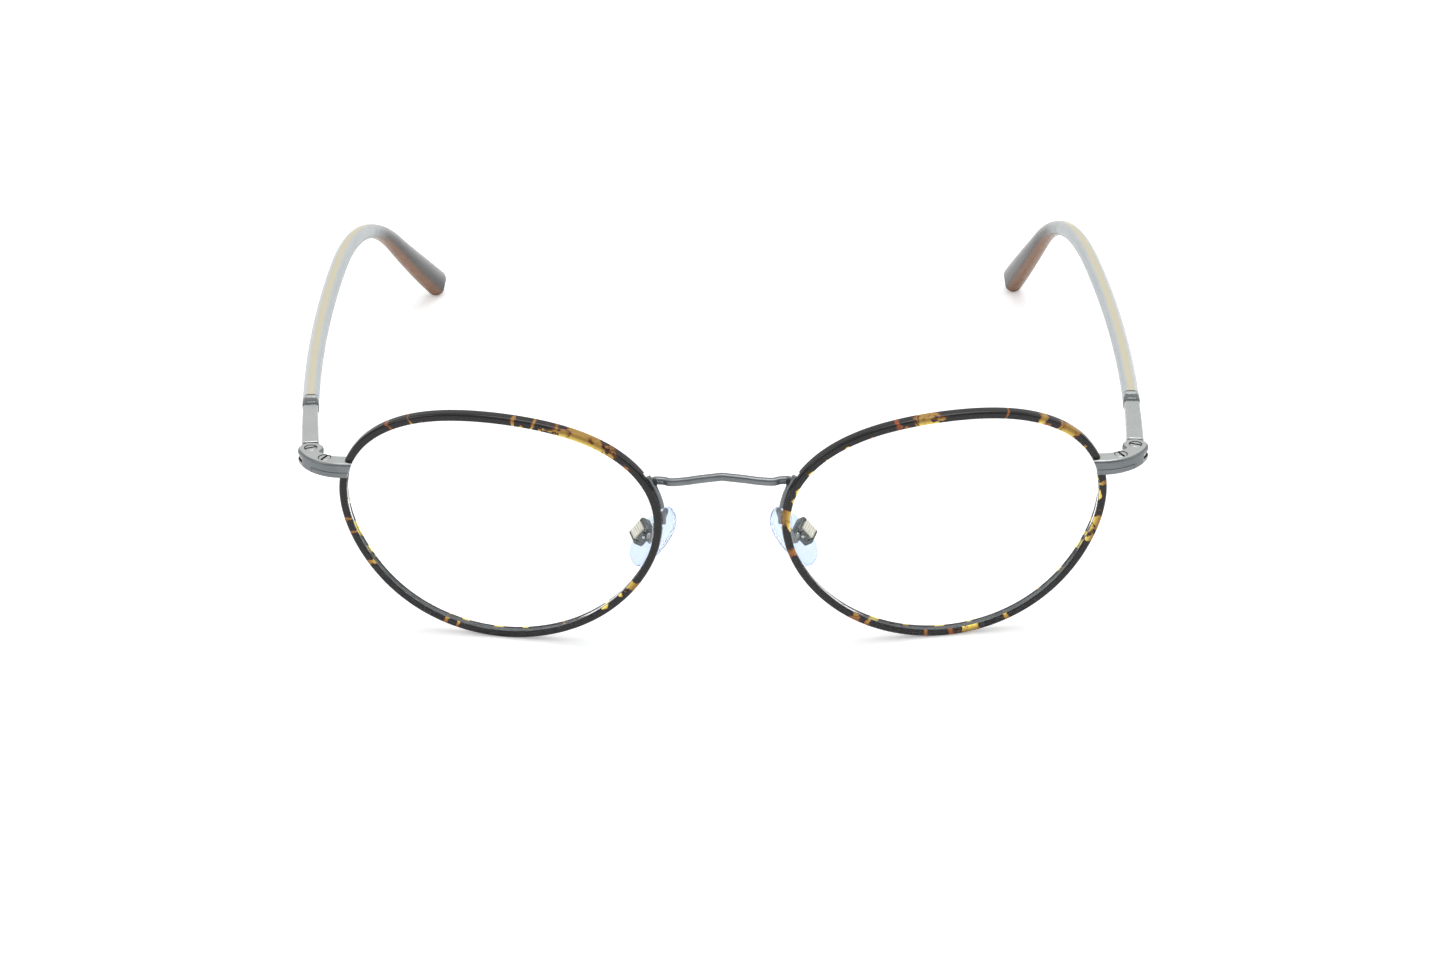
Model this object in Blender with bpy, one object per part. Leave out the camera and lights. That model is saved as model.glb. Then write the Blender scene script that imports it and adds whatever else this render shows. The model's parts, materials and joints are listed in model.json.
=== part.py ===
"""Oval eyeglasses: metal eyewires under acetate rim covers, wire-core temples, sprung nose pads.

Blender 4.5, metres, +Z up. The glasses stand open on a flat surface, on the two rims and the two
temple tips, with the lenses towards -Y and the temples towards +Y. Sizes below are millimetres and
degrees. The working frame has the lens centres at y = 0; a root empty then centres the whole
object over the origin.
"""
import bpy
import bmesh
from math import cos, hypot, pi, radians, sin
from mathutils import Matrix, Vector

MM = 0.001
SIDES = {"left": -1, "right": 1}

# Front: lenses and rims
LENS_WIDTH = 50.0
LENS_HEIGHT = 39.8
LENS_SPACING = 70.85           # between the lens centres
LENS_THICKNESS = 1.5
LENS_BEVEL_HEIGHT = 0.54       # how far the edge bevel stands out of the lens edge
LENS_BEVEL_WIDTH = 0.8
BASE_CURVE_RADIUS = 130.0      # curvature of the lenses
FACE_FORM = 9.3                # each lens turned back at its temple side
FRONT_TILT = 5.0               # the front leans forward at the top
OUTLINE_EGG = 0.0376           # terms that turn the ellipse into the lens outline
OUTLINE_SWEEP = -0.0085
OUTLINE_LEAN = 0.007
OUTLINE_SQUARE = -0.006
RIM_OVER_LENS = 0.9            # rim's outer face beyond the lens edge
RIM_LIP = 0.35                 # rim's inner lips inside the lens edge
RIM_DEPTH = 1.75
RIM_ROUNDING = 0.45
LIP_ROUNDING = 0.15
COVER_WALL = 0.4               # acetate outside the eyewire
EYEWIRE_DEPTH = 1.2
EYEWIRE_LIP = 0.23             # eyewire's inner face inside the lens edge
GROOVE_WIDTH = 0.9
GROOVE_FLOOR = 0.12            # groove bottom beyond the lens edge
EYEWIRE_SLIT = 0.1             # where the closing screw draws the ring shut
OUTLINE_STEPS = 48

# End pieces and hinges
HINGE_HALF_SPAN = 65.15
HINGE_SETBACK = 9.8            # hinge axis behind the lens centres
END_RISE = 7.97                # middle of the end piece above the lens centre
END_HEIGHT = 2.6
END_ROUNDING = 0.45
SPLIT_HEIGHT = 1.05            # height of the closing block
BARREL_RADIUS = 2.05
KNUCKLE_RADIUS = 1.75
KNUCKLE_HEIGHT = 0.9
SCREW_HEAD_RADIUS = 0.95
SCREW_HEAD_DEPTH = 0.4
SCREW_SHANK_RADIUS = 0.6
SLOT_WIDTH = 0.28
SLOT_DEPTH = 0.22

# Bridge and nose pads
BRIDGE_RISE = 8.82             # bridge crown above the lens centre
BRIDGE_HEIGHT = 1.25
BRIDGE_DEPTH = 1.1
FOOT_THICKNESS = 0.85
FOOT_START = 153.0             # angles around the lens outline, from the temple side over the top
FOOT_END = 168.0
ARM_START = 170.5
ARM_END = 175.5
ARM_RADIUS = 0.45
PAD_LENGTH = 11.0
PAD_WIDTH = 7.4
PAD_THICKNESS = 2.0
PAD_POSITION = Vector((11.25, 9.3, -6.6))  # from the middle plane, the lens centres and their height
PAD_FRONTAL_ANGLE = 39.0
PAD_SPLAY_ANGLE = 24.0
HOLDER_LENGTH = 3.7
HOLDER_WIDTH = 3.1
HOLDER_DEPTH = 1.9
HOLDER_BASE = 0.5
HOLDER_WALL = 0.5
HOLDER_STANDOFF = 0.45         # holder's base behind the pad's back
INSERT_LENGTH = 2.3
INSERT_PROUD = 0.35            # insert beyond the holder's open side
PIN_RADIUS = 0.32
STEM_SIZE = 1.1

# Temples
TEMPLE_LENGTH = 139.0          # from the hinge axis along the temple to its end
TEMPLE_CLIMB = 3.0             # temple rises to the rear until its bend
TEMPLE_CURL = 0.173            # turn towards the head, degrees for each millimetre
BEND_START = 66.0
BEND_RADIUS = 60.0
SPLAY = {"left": 7.5, "right": 3.9}
TIP_TURN = {"left": -0.8, "right": 10.0}   # how much the tip turns back outwards
BAR_START = 2.25
BAR_LENGTH = 12.9
BAR_WIDTH = 2.75
BAR_END_WIDTH = 2.4
BAR_HEIGHT = 2.3
COLLAR_LENGTH = 2.6
COLLAR_WIDTH = 2.65
COLLAR_HEIGHT = 2.5
COLLAR_ROUNDING = 0.75
SLEEVE_WIDTH = 2.65
SLEEVE_HEIGHT = 2.55
SLEEVE_ROUNDING = 0.35         # corner radius, as a share of the thinner way
TIP_WIDTH = 3.3
TIP_HEIGHT = 4.9
TIP_FLARE_START = 92.0
CORE_WIDTH = 0.7
CORE_HEIGHT = 1.5
CORE_END_MARGIN = 14.0         # solid sleeve past the end of the core wire

# Fits
FIT = 0.05                     # between pieces that are fixed together
RUNNING = 0.05                 # between the hinge knuckle and the ears
PAD_PLAY = 0.25                # room for the pad to rock in its holder

# Finishes: colour, roughness, metallic
STEEL = ("satin_gunmetal", (0.33, 0.36, 0.37), 0.35, 1.0)
BRIGHT_STEEL = ("satin_steel", (0.6, 0.63, 0.61), 0.3, 1.0)
ACETATE = ("tortoise_acetate", (0.055, 0.03, 0.022), 0.12, 0.0)
LENS_CLEAR = ("clear_lens", (0.93, 0.96, 0.97), 0.03, 0.0)
SILICONE = ("clear_silicone", (0.75, 0.87, 0.97), 0.15, 0.0)
IVORY = ("ivory_plastic", (0.82, 0.8, 0.7), 0.4, 0.0)
SLEEVE_GREY = ("grey_sleeve", (0.62, 0.63, 0.63), 0.35, 0.0)
CORE_GOLD = ("gilt_core", (0.78, 0.66, 0.4), 0.3, 1.0)


def remove_everything():
    for item in list(bpy.data.objects):
        bpy.data.objects.remove(item, do_unlink=True)


def finish_material(finish):
    name, colour, roughness, metallic = finish
    material = bpy.data.materials.get(name)
    if material is None:
        material = bpy.data.materials.new(name)
        material.use_nodes = True
        shader = material.node_tree.nodes["Principled BSDF"]
        shader.inputs["Base Color"].default_value = (*colour, 1.0)
        shader.inputs["Roughness"].default_value = roughness
        shader.inputs["Metallic"].default_value = metallic
    return material


def add_object(name, points, faces, finish, root, origin=Vector((0, 0, 0))):
    """Makes one closed body from points in millimetres, with its origin where it turns."""
    mesh = bpy.data.meshes.new(name)
    mesh.from_pydata([(Vector(p) - origin) * MM for p in points], [], faces)
    shape = bmesh.new()
    shape.from_mesh(mesh)
    bmesh.ops.recalc_face_normals(shape, faces=shape.faces)
    shape.to_mesh(mesh)
    shape.free()
    mesh.shade_smooth()
    mesh.set_sharp_from_angle(angle=radians(35))
    item = bpy.data.objects.new(name, mesh)
    bpy.context.scene.collection.objects.link(item)
    item.location = origin * MM
    item.parent = root
    if finish:
        mesh.materials.append(finish_material(finish))
    else:
        item.hide_render = True
        item.display_type = "WIRE"
    return item


def combine(item, tools, operation="DIFFERENCE"):
    for tool in tools:
        modifier = item.modifiers.new(tool.name, "BOOLEAN")
        modifier.operation = operation
        modifier.object = tool
        modifier.solver = "EXACT"


def loft(rings, closed_path=False):
    """Skins a list of equal rings; an open path gets a flat face at each end."""
    size = len(rings[0])
    points = [p for ring in rings for p in ring]
    count = len(rings)
    faces = []
    for i in range(count if closed_path else count - 1):
        here = i * size
        there = ((i + 1) % count) * size
        for j in range(size):
            k = (j + 1) % size
            faces.append((here + j, here + k, there + k, there + j))
    if not closed_path:
        faces.append(tuple(range(size - 1, -1, -1)))
        faces.append(tuple(range((count - 1) * size, count * size)))
    return points, faces


def smooth_curve(marks, steps):
    """Points on a smooth curve through the marks, a number of steps between each two."""
    marks = [Vector(m) for m in marks]
    ends = [2 * marks[0] - marks[1]] + marks + [2 * marks[-1] - marks[-2]]
    curve = []
    for i in range(1, len(ends) - 2):
        before, start, stop, after = ends[i - 1:i + 3]
        for j in range(steps):
            t = j / steps
            bend = 2 * before - 5 * start + 4 * stop - after
            twist = 3 * start - before - 3 * stop + after
            curve.append(start + 0.5 * (t * (stop - before) + t * t * bend + t ** 3 * twist))
    curve.append(marks[-1])
    return curve


def path_frames(path, up):
    """Side and up directions, square to the path, at each of its points."""
    frames = []
    for i, here in enumerate(path):
        ahead = path[min(i + 1, len(path) - 1)] - path[max(i - 1, 0)]
        across = ahead.cross(up).normalized()
        frames.append((here, across, across.cross(ahead).normalized()))
    return frames


def oval(width, height, count):
    """Outline of an ellipse, as (across, up) pairs."""
    turn = 2 * pi / count
    return [(width / 2 * cos(i * turn), height / 2 * sin(i * turn)) for i in range(count)]


def rounded_box(width, height, rounding, corner_steps=2):
    """Outline of a rectangle with round corners, as (across, up) pairs."""
    outline = []
    for corner in range(4):
        middle = pi / 4 + corner * pi / 2
        centre_x = (width / 2 - rounding) * (1 if cos(middle) > 0 else -1)
        centre_y = (height / 2 - rounding) * (1 if sin(middle) > 0 else -1)
        for j in range(corner_steps + 1):
            angle = corner * pi / 2 + j * pi / 2 / corner_steps
            outline.append((centre_x + rounding * cos(angle), centre_y + rounding * sin(angle)))
    return outline


def place_section(frame, section):
    here, across, up = frame
    return [here + across * a + up * b for a, b in section]


# ---------------------------------------------------------------- lens outline

def lens_edge(angle):
    """A point of the lens edge in the lens's own plane: towards the temple, and up."""
    scale = (1 + OUTLINE_SWEEP * cos(3 * angle) + OUTLINE_EGG * sin(3 * angle)
             + OUTLINE_LEAN * sin(2 * angle) + OUTLINE_SQUARE * cos(4 * angle))
    return LENS_WIDTH / 2 * cos(angle) * scale, LENS_HEIGHT / 2 * sin(angle) * scale


def lens_edge_normal(angle):
    step = 0.001
    before = lens_edge(angle - step)
    after = lens_edge(angle + step)
    run = after[0] - before[0]
    rise = after[1] - before[1]
    length = hypot(run, rise)
    return rise / length, -run / length


def sag(u, v):
    """Depth of the lens's middle surface behind its centre."""
    return (u * u + v * v) / (2 * BASE_CURVE_RADIUS)


def tilt_front(point):
    """Leans a point of the upright front forward about the lens centres."""
    return Matrix.Rotation(radians(FRONT_TILT), 3, "X") @ Vector(point)


def from_lens_plane(u, v, depth, side):
    """Working-frame place of a point given in one lens's plane."""
    turn = radians(FACE_FORM)
    x = LENS_SPACING / 2 + u * cos(turn) - depth * sin(turn)
    y = u * sin(turn) + depth * cos(turn)
    return tilt_front((side * x, y, v)) + Vector((0, 0, lens_centre_height()))


def rim_point(angle, reach, depth, side):
    """A point at a reach outside the lens edge and a depth behind the lens's middle surface."""
    u, v = lens_edge(angle)
    normal_u, normal_v = lens_edge_normal(angle)
    return from_lens_plane(u + reach * normal_u, v + reach * normal_v, sag(u, v) + depth, side)


def outline_angles(start=0.0, stop=360.0, steps=OUTLINE_STEPS):
    return [radians(start + (stop - start) * i / steps) for i in range(steps + 1)]


def rim_sweep(section, side, angles, closed_path):
    rings = [[rim_point(angle, reach, depth, side) for reach, depth in section] for angle in angles]
    return loft(rings, closed_path)


LENS_CENTRE = []


def lens_centre_height():
    """Height of the lens centres at which the rims just touch the surface below."""
    if not LENS_CENTRE:
        LENS_CENTRE.append(0.0)
        lowest = min(rim_point(angle, reach, depth, 1).z
                     for angle in outline_angles()
                     for reach, depth in cover_section())
        LENS_CENTRE[0] = -lowest
    return LENS_CENTRE[0]


# ---------------------------------------------------------------- rims

def cover_section():
    """Channel of acetate that opens towards the lens, as (reach, depth) pairs."""
    half = RIM_DEPTH / 2
    cavity = EYEWIRE_DEPTH / 2 + FIT
    floor = RIM_OVER_LENS - COVER_WALL
    corner = RIM_ROUNDING
    easing = corner * (1 - cos(pi / 4))
    side = [(-RIM_LIP, cavity), (-RIM_LIP, half - LIP_ROUNDING), (-RIM_LIP + LIP_ROUNDING, half),
            (RIM_OVER_LENS - corner, half), (RIM_OVER_LENS - easing, half - easing),
            (RIM_OVER_LENS, half - corner)]
    front = [(reach, -depth) for reach, depth in side]
    return front + side[::-1] + [(floor, cavity), (floor, -cavity)]


def eyewire_section():
    """Metal ring with a groove for the lens bevel, as (reach, depth) pairs."""
    half = EYEWIRE_DEPTH / 2
    outer = RIM_OVER_LENS - COVER_WALL - FIT
    lip = GROOVE_WIDTH / 2
    return [(-EYEWIRE_LIP, -lip), (-EYEWIRE_LIP, -half), (outer, -half), (outer, half),
            (-EYEWIRE_LIP, half), (-EYEWIRE_LIP, lip), (GROOVE_FLOOR, 0.0)]


def eyewire_space(label, side, root):
    """Room for the eyewire with its fit, cut from what is soldered around or beside it."""
    name = "eyewire_space_" + label
    if name in bpy.data.objects:
        return bpy.data.objects[name]
    outer = RIM_OVER_LENS - COVER_WALL
    half = EYEWIRE_DEPTH / 2 + FIT
    room = [(-RIM_LIP - FIT, -half), (outer, -half), (outer, half), (-RIM_LIP - FIT, half)]
    return add_object(name, *rim_sweep(room, side, outline_angles()[:-1], True), None, root)


def cover_space(label, side, root):
    """Room for the rim past the notch: all of it inside the foot, and its front half outside."""
    name = "cover_space_" + label
    if name in bpy.data.objects:
        return bpy.data.objects[name]
    floor = RIM_OVER_LENS - COVER_WALL
    behind = RIM_DEPTH / 2 + FIT
    outer = RIM_OVER_LENS + FIT
    room = [(-RIM_LIP, -RIM_DEPTH), (outer, -RIM_DEPTH), (outer, 0.0), (floor, 0.0), (floor, behind),
            (-RIM_LIP, behind)]
    return add_object(name, *rim_sweep(room, side, outline_angles()[:-1], True), None, root)


def level_box(name, low, high, root):
    """An upright box between two corners, used to cut."""
    rings = []
    for z in (low[2], high[2]):
        rings.append([Vector((low[0], low[1], z)), Vector((high[0], low[1], z)),
                      Vector((high[0], high[1], z)), Vector((low[0], high[1], z))])
    return add_object(name, *loft(rings), None, root)


def end_levels():
    """Bottom, split and top of the end piece."""
    bottom = lens_centre_height() + END_RISE - END_HEIGHT / 2
    return bottom, bottom + SPLIT_HEIGHT, bottom + END_HEIGHT


def temple_side_gap(name, side, low, high, root):
    """Cuts a rim open at its temple side between two heights."""
    inner = LENS_SPACING / 2 + LENS_WIDTH / 4
    outer = HINGE_HALF_SPAN
    x_range = sorted((side * inner, side * outer))
    reach = HINGE_SETBACK * 2
    return level_box(name, (x_range[0], -reach, low), (x_range[1], reach, high), root)


def add_rim(label, side, root):
    ring = outline_angles()[:-1]
    bottom, split, top = end_levels()
    half_slit = EYEWIRE_SLIT / 2
    wire_sweep = rim_sweep(eyewire_section(), side, ring, True)
    eyewire = add_object("eyewire_" + label, *wire_sweep, STEEL, root)
    slit = temple_side_gap("slit_" + label, side, split - half_slit, split + half_slit, root)
    combine(eyewire, [slit])

    cover_sweep = rim_sweep(cover_section(), side, ring, True)
    cover = add_object("rim_cover_" + label, *cover_sweep, ACETATE, root)
    opening = temple_side_gap("cover_opening_" + label, side, bottom - FIT, top + FIT, root)
    floor = RIM_OVER_LENS - COVER_WALL - FIT / 2
    outside = RIM_OVER_LENS * 2
    notch_section = [(floor, -FIT), (floor, RIM_DEPTH), (outside, RIM_DEPTH), (outside, -FIT)]
    notch_margin = 2.5
    notch_angles = outline_angles(FOOT_START - notch_margin, ARM_END + notch_margin, 12)
    notch_sweep = rim_sweep(notch_section, side, notch_angles, False)
    notch = add_object("foot_notch_" + label, *notch_sweep, None, root)
    combine(cover, [opening, notch])


def add_lens(label, side, root):
    """A meniscus with a bevel around its edge that stands in the eyewire's groove."""
    angles = outline_angles()[:-1]
    half = LENS_THICKNESS / 2
    land = -LENS_BEVEL_HEIGHT
    inner_rings = (0.45, 0.85)
    points = [from_lens_plane(0, 0, -half, side)]
    rings = []

    def surface_ring(share, depth):
        ring = []
        for angle in angles:
            u, v = lens_edge(angle)
            normal_u, normal_v = lens_edge_normal(angle)
            u = (u + land * normal_u) * share
            v = (v + land * normal_v) * share
            ring.append(from_lens_plane(u, v, sag(u, v) + depth, side))
        return ring

    for share in inner_rings + (1.0,):
        rings.append(surface_ring(share, -half))
    rings.append([rim_point(a, land, -LENS_BEVEL_WIDTH / 2, side) for a in angles])
    rings.append([rim_point(a, 0.0, 0.0, side) for a in angles])
    rings.append([rim_point(a, land, LENS_BEVEL_WIDTH / 2, side) for a in angles])
    for share in (1.0,) + inner_rings[::-1]:
        rings.append(surface_ring(share, half))
    count = len(angles)
    skin, faces = loft(rings)
    faces = [tuple(i + 1 for i in face) for face in faces[:-2]]
    points += skin + [from_lens_plane(0, 0, half, side)]
    last = len(points) - 1
    for j in range(count):
        k = (j + 1) % count
        faces.append((0, 1 + k, 1 + j))
        faces.append((last, last - count + j, last - count + k))
    add_object("lens_" + label, points, faces, LENS_CLEAR, root)


# ---------------------------------------------------------------- end pieces and hinges

def end_centreline():
    """Middle of the end piece in plan, from the rim's inner edge to the hinge axis."""
    hinge = Vector((HINGE_HALF_SPAN, HINGE_SETBACK, 0))
    marks = [hinge + Vector(offset) for offset in
             ((-8.3, -4.35, 0), (-4.85, -4.3, 0), (-2.55, -3.45, 0), (-0.85, -1.85, 0), (0, 0, 0))]
    return smooth_curve(marks, 2)


def end_outline(inset, side, stop=None):
    """Plan outline of the end piece; with a stop it ends square there, short of the barrel."""
    line = end_centreline()
    front_widths = (1.6, 1.6, 1.65, 1.8, BARREL_RADIUS)
    rear_widths = (1.55, 1.5, 1.3, 1.05, 1.0)
    front = []
    rear = []
    for i, (here, across, _) in enumerate(path_frames(line, Vector((0, 0, 1)))):
        if stop is not None and i > stop:
            break
        share = i / 2
        low = min(int(share), len(front_widths) - 2)
        blend = share - low
        ahead_width = front_widths[low] + (front_widths[low + 1] - front_widths[low]) * blend
        back_width = rear_widths[low] + (rear_widths[low + 1] - rear_widths[low]) * blend
        front.append(here + across * (ahead_width - inset))
        rear.append(here - across * (back_width - inset))
    outline = front
    if stop is None:
        hinge = line[-1]
        radius = BARREL_RADIUS - inset
        rear = rear[:-2]
        outline = front[:-1]
        for step in range(9):
            angle = radians(-10 + step * 25)
            outline.append(hinge + Vector((radius * cos(angle), radius * sin(angle), 0)))
    outline = outline + rear[::-1]
    return [Vector((side * p.x, p.y, 0)) for p in outline]


def rounded_prism(outline_at, levels):
    """Stacks an outline at (height, inset) levels."""
    return loft([[p + Vector((0, 0, height)) for p in outline_at(inset)] for height, inset in levels])


def eased_levels(low, high, ease_low, ease_high):
    """Levels of an upright wall whose chosen ends are rounded over."""
    corner = END_ROUNDING
    easing = corner * (1 - cos(pi / 4))
    bottom = [(low, corner), (low + easing, easing), (low + corner, 0.0)] if ease_low else [(low, 0.0)]
    top = [(high - corner, 0.0), (high - easing, easing), (high, corner)] if ease_high else [(high, 0.0)]
    return bottom + top


def block_space(side, stop, low, high):
    """An oversize block around the closing block, square to the end piece where the block stops."""
    frames = path_frames(end_centreline(), Vector((0, 0, 1)))
    reach = 4.0
    first, across, _ = frames[0]
    last, last_across, _ = frames[stop]
    first = first - Vector((reach, 0, 0))
    stop_gap = (frames[stop + 1][0] - last).normalized() * FIT
    corners = [first + across * reach, last + stop_gap + last_across * reach,
               last + stop_gap - last_across * reach, first - across * reach]
    return loft([[Vector((side * p.x, p.y, z)) for p in corners] for z in (low, high)])


def cylinder(centre, radius, low, high, count=16):
    rings = []
    for z in (low, high):
        circle = oval(2 * radius, 2 * radius, count)
        rings.append([Vector((centre.x + x, centre.y + y, z)) for x, y in circle])
    return loft(rings)


def hinge_point(side):
    return Vector((side * HINGE_HALF_SPAN, HINGE_SETBACK, 0))


def closing_point(side):
    mark = end_centreline()[4]
    return Vector((side * mark.x, mark.y, 0))


def screw_profile(top, tip):
    """Radius and height of a slotted countersunk screw, head first."""
    return [(SCREW_HEAD_RADIUS, top), (SCREW_HEAD_RADIUS, top - SCREW_HEAD_DEPTH / 2),
            (SCREW_SHANK_RADIUS, top - SCREW_HEAD_DEPTH), (SCREW_SHANK_RADIUS, tip)]


def turned(centre, profile, grow=0.0, count=16):
    rings = []
    for radius, z in profile:
        size = 2 * (radius + grow)
        rings.append([Vector((centre.x + x, centre.y + y, z)) for x, y in oval(size, size, count)])
    return loft(rings)


def screw_hole(name, centre, top, tip, root):
    """Room for a screw, opened a little past both of its ends."""
    profile = screw_profile(top, tip - FIT)
    overshoot = 1.0
    profile = [(profile[0][0], top + overshoot)] + profile[1:]
    return add_object(name, *turned(centre, profile, FIT), None, root)


def add_screw(name, centre, top, tip, slot_angle, root, origin):
    screw = add_object(name, *turned(centre, screw_profile(top, tip)), BRIGHT_STEEL, root, origin)
    turn = Matrix.Rotation(radians(slot_angle), 3, "Z")
    reach = SCREW_HEAD_RADIUS * 1.5
    half_slot = SLOT_WIDTH / 2
    rings = []
    for z in (top - SLOT_DEPTH, top + SLOT_DEPTH):
        corners = [(-reach, -half_slot), (reach, -half_slot), (reach, half_slot), (-reach, half_slot)]
        rings.append([centre + turn @ Vector((x, y, 0)) + Vector((0, 0, z)) for x, y in corners])
    slot = add_object(name + "_slot", *loft(rings), None, root)
    combine(screw, [slot])


def add_end_piece(label, side, root):
    bottom, split, top = end_levels()
    block_stop = 5
    piece_levels = eased_levels(bottom, top, True, True)
    piece_prism = rounded_prism(lambda inset: end_outline(inset, side), piece_levels)
    piece = add_object("end_piece_" + label, *piece_prism, STEEL, root)
    block_levels = eased_levels(bottom, split - FIT / 2, True, False)
    block_prism = rounded_prism(lambda inset: end_outline(inset, side, block_stop), block_levels)
    block = add_object("closing_block_" + label, *block_prism, STEEL, root)

    step_shape = block_space(side, block_stop, bottom - 1, split + FIT / 2)
    step = add_object("block_space_" + label, *step_shape, None, root)
    ring = outline_angles()[:-1]
    wire_space = eyewire_space(label, side, root)
    opening_depth = 6.0
    opening_rings = [[rim_point(a, -RIM_LIP, depth, side) for a in ring]
                     for depth in (-opening_depth, opening_depth)]
    opening = add_object("lens_opening_" + label, *loft(opening_rings), None, root)

    hinge = hinge_point(side)
    middle = (bottom + top) / 2
    slot_half = KNUCKLE_HEIGHT / 2 + RUNNING
    slot_radius = BARREL_RADIUS + 0.3
    slot_shape = cylinder(hinge, slot_radius, middle - slot_half, middle + slot_half, 24)
    knuckle_space = add_object("knuckle_space_" + label, *slot_shape, None, root)
    tip = bottom + 0.15
    closing = closing_point(side)
    slot_angle = 62 if side < 0 else 118
    hinge_hole = screw_hole("hinge_hole_" + label, hinge, top, tip, root)
    closing_hole = screw_hole("closing_hole_" + label, closing, top, tip, root)
    combine(piece, [wire_space, opening, step, knuckle_space, hinge_hole, closing_hole])
    combine(block, [wire_space, opening, closing_hole])
    add_screw("hinge_screw_" + label, hinge, top, tip, side * 22, root, hinge)
    add_screw("closing_screw_" + label, closing, top, tip, slot_angle, root, closing)


# ---------------------------------------------------------------- bridge and pads

def foot_section(depth_low, depth_high, thickness):
    floor = RIM_OVER_LENS - COVER_WALL
    top = floor + thickness
    return [(floor, depth_low), (top, depth_low), (top, depth_high), (floor, depth_high)]


def add_bridge(root):
    """A low arched bar whose ends curl onto a solder foot along each eyewire."""
    crown = lens_centre_height() + BRIDGE_RISE
    foot_top = rim_point(radians(FOOT_START + 4), RIM_OVER_LENS - COVER_WALL + FOOT_THICKNESS / 2, 0.6, 1)
    half = [(0, -0.1, crown), (3.4, -0.15, crown - 0.4), (5.7, -0.2, crown - 0.72), (7.7, -0.1, crown - 0.85),
            (9.1, 0.3, crown - 0.95), (foot_top.x - 0.25, 0.0, crown - 1.1), tuple(foot_top)]
    right = smooth_curve(half, 3)
    line = [Vector((-p.x, p.y, p.z)) for p in right[:0:-1]] + right
    section = oval(BRIDGE_DEPTH, BRIDGE_HEIGHT, 10)
    rings = [place_section(frame, section) for frame in path_frames(line, Vector((0, 0, 1)))]
    bridge = add_object("bridge", *loft(rings), STEEL, root)
    feet = []
    for label, side in SIDES.items():
        section = foot_section(FIT, RIM_DEPTH / 2, FOOT_THICKNESS)
        angles = outline_angles(FOOT_START, FOOT_END, 8)
        feet.append(add_object("bridge_foot_" + label, *rim_sweep(section, side, angles, False), None, root))
    combine(bridge, feet, "UNION")
    combine(bridge, [cover_space(label, side, root) for label, side in SIDES.items()])


def pad_frame(side):
    """Matrix from the pad's own axes: x away from the nose, y back along the face, z along the pad."""
    centre = PAD_POSITION + Vector((0, 0, lens_centre_height()))
    turn = (Matrix.Rotation(radians(-PAD_FRONTAL_ANGLE), 4, "Y")
            @ Matrix.Rotation(radians(-PAD_SPLAY_ANGLE), 4, "Z"))
    return Matrix.Scale(side, 4, Vector((1, 0, 0))) @ Matrix.Translation(centre) @ turn


def box_in_pad_frame(side, low, high):
    frame = pad_frame(side)
    rings = []
    for z in (low[2], high[2]):
        corners = [(low[0], low[1]), (high[0], low[1]), (high[0], high[1]), (low[0], high[1])]
        rings.append([frame @ Vector((x, y, z)) for x, y in corners])
    return loft(rings)


def holder_range():
    """Where the holder lies away from the nose: its base face and its open face."""
    base = PAD_THICKNESS / 2 + HOLDER_STANDOFF
    return base, base + HOLDER_DEPTH


def pin_axis_reach():
    base, face = holder_range()
    return base + HOLDER_BASE + (HOLDER_DEPTH - HOLDER_BASE) / 2


def pin_in_pad_frame(side, radius, half_length):
    frame = pad_frame(side)
    rings = []
    for y in (-half_length, half_length):
        ring = [(pin_axis_reach() + a, y, b) for a, b in oval(2 * radius, 2 * radius, 12)]
        rings.append([frame @ Vector(p) for p in ring])
    return loft(rings)


def pad_pivot(side):
    return pad_frame(side) @ Vector((pin_axis_reach(), 0, 0))


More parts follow.
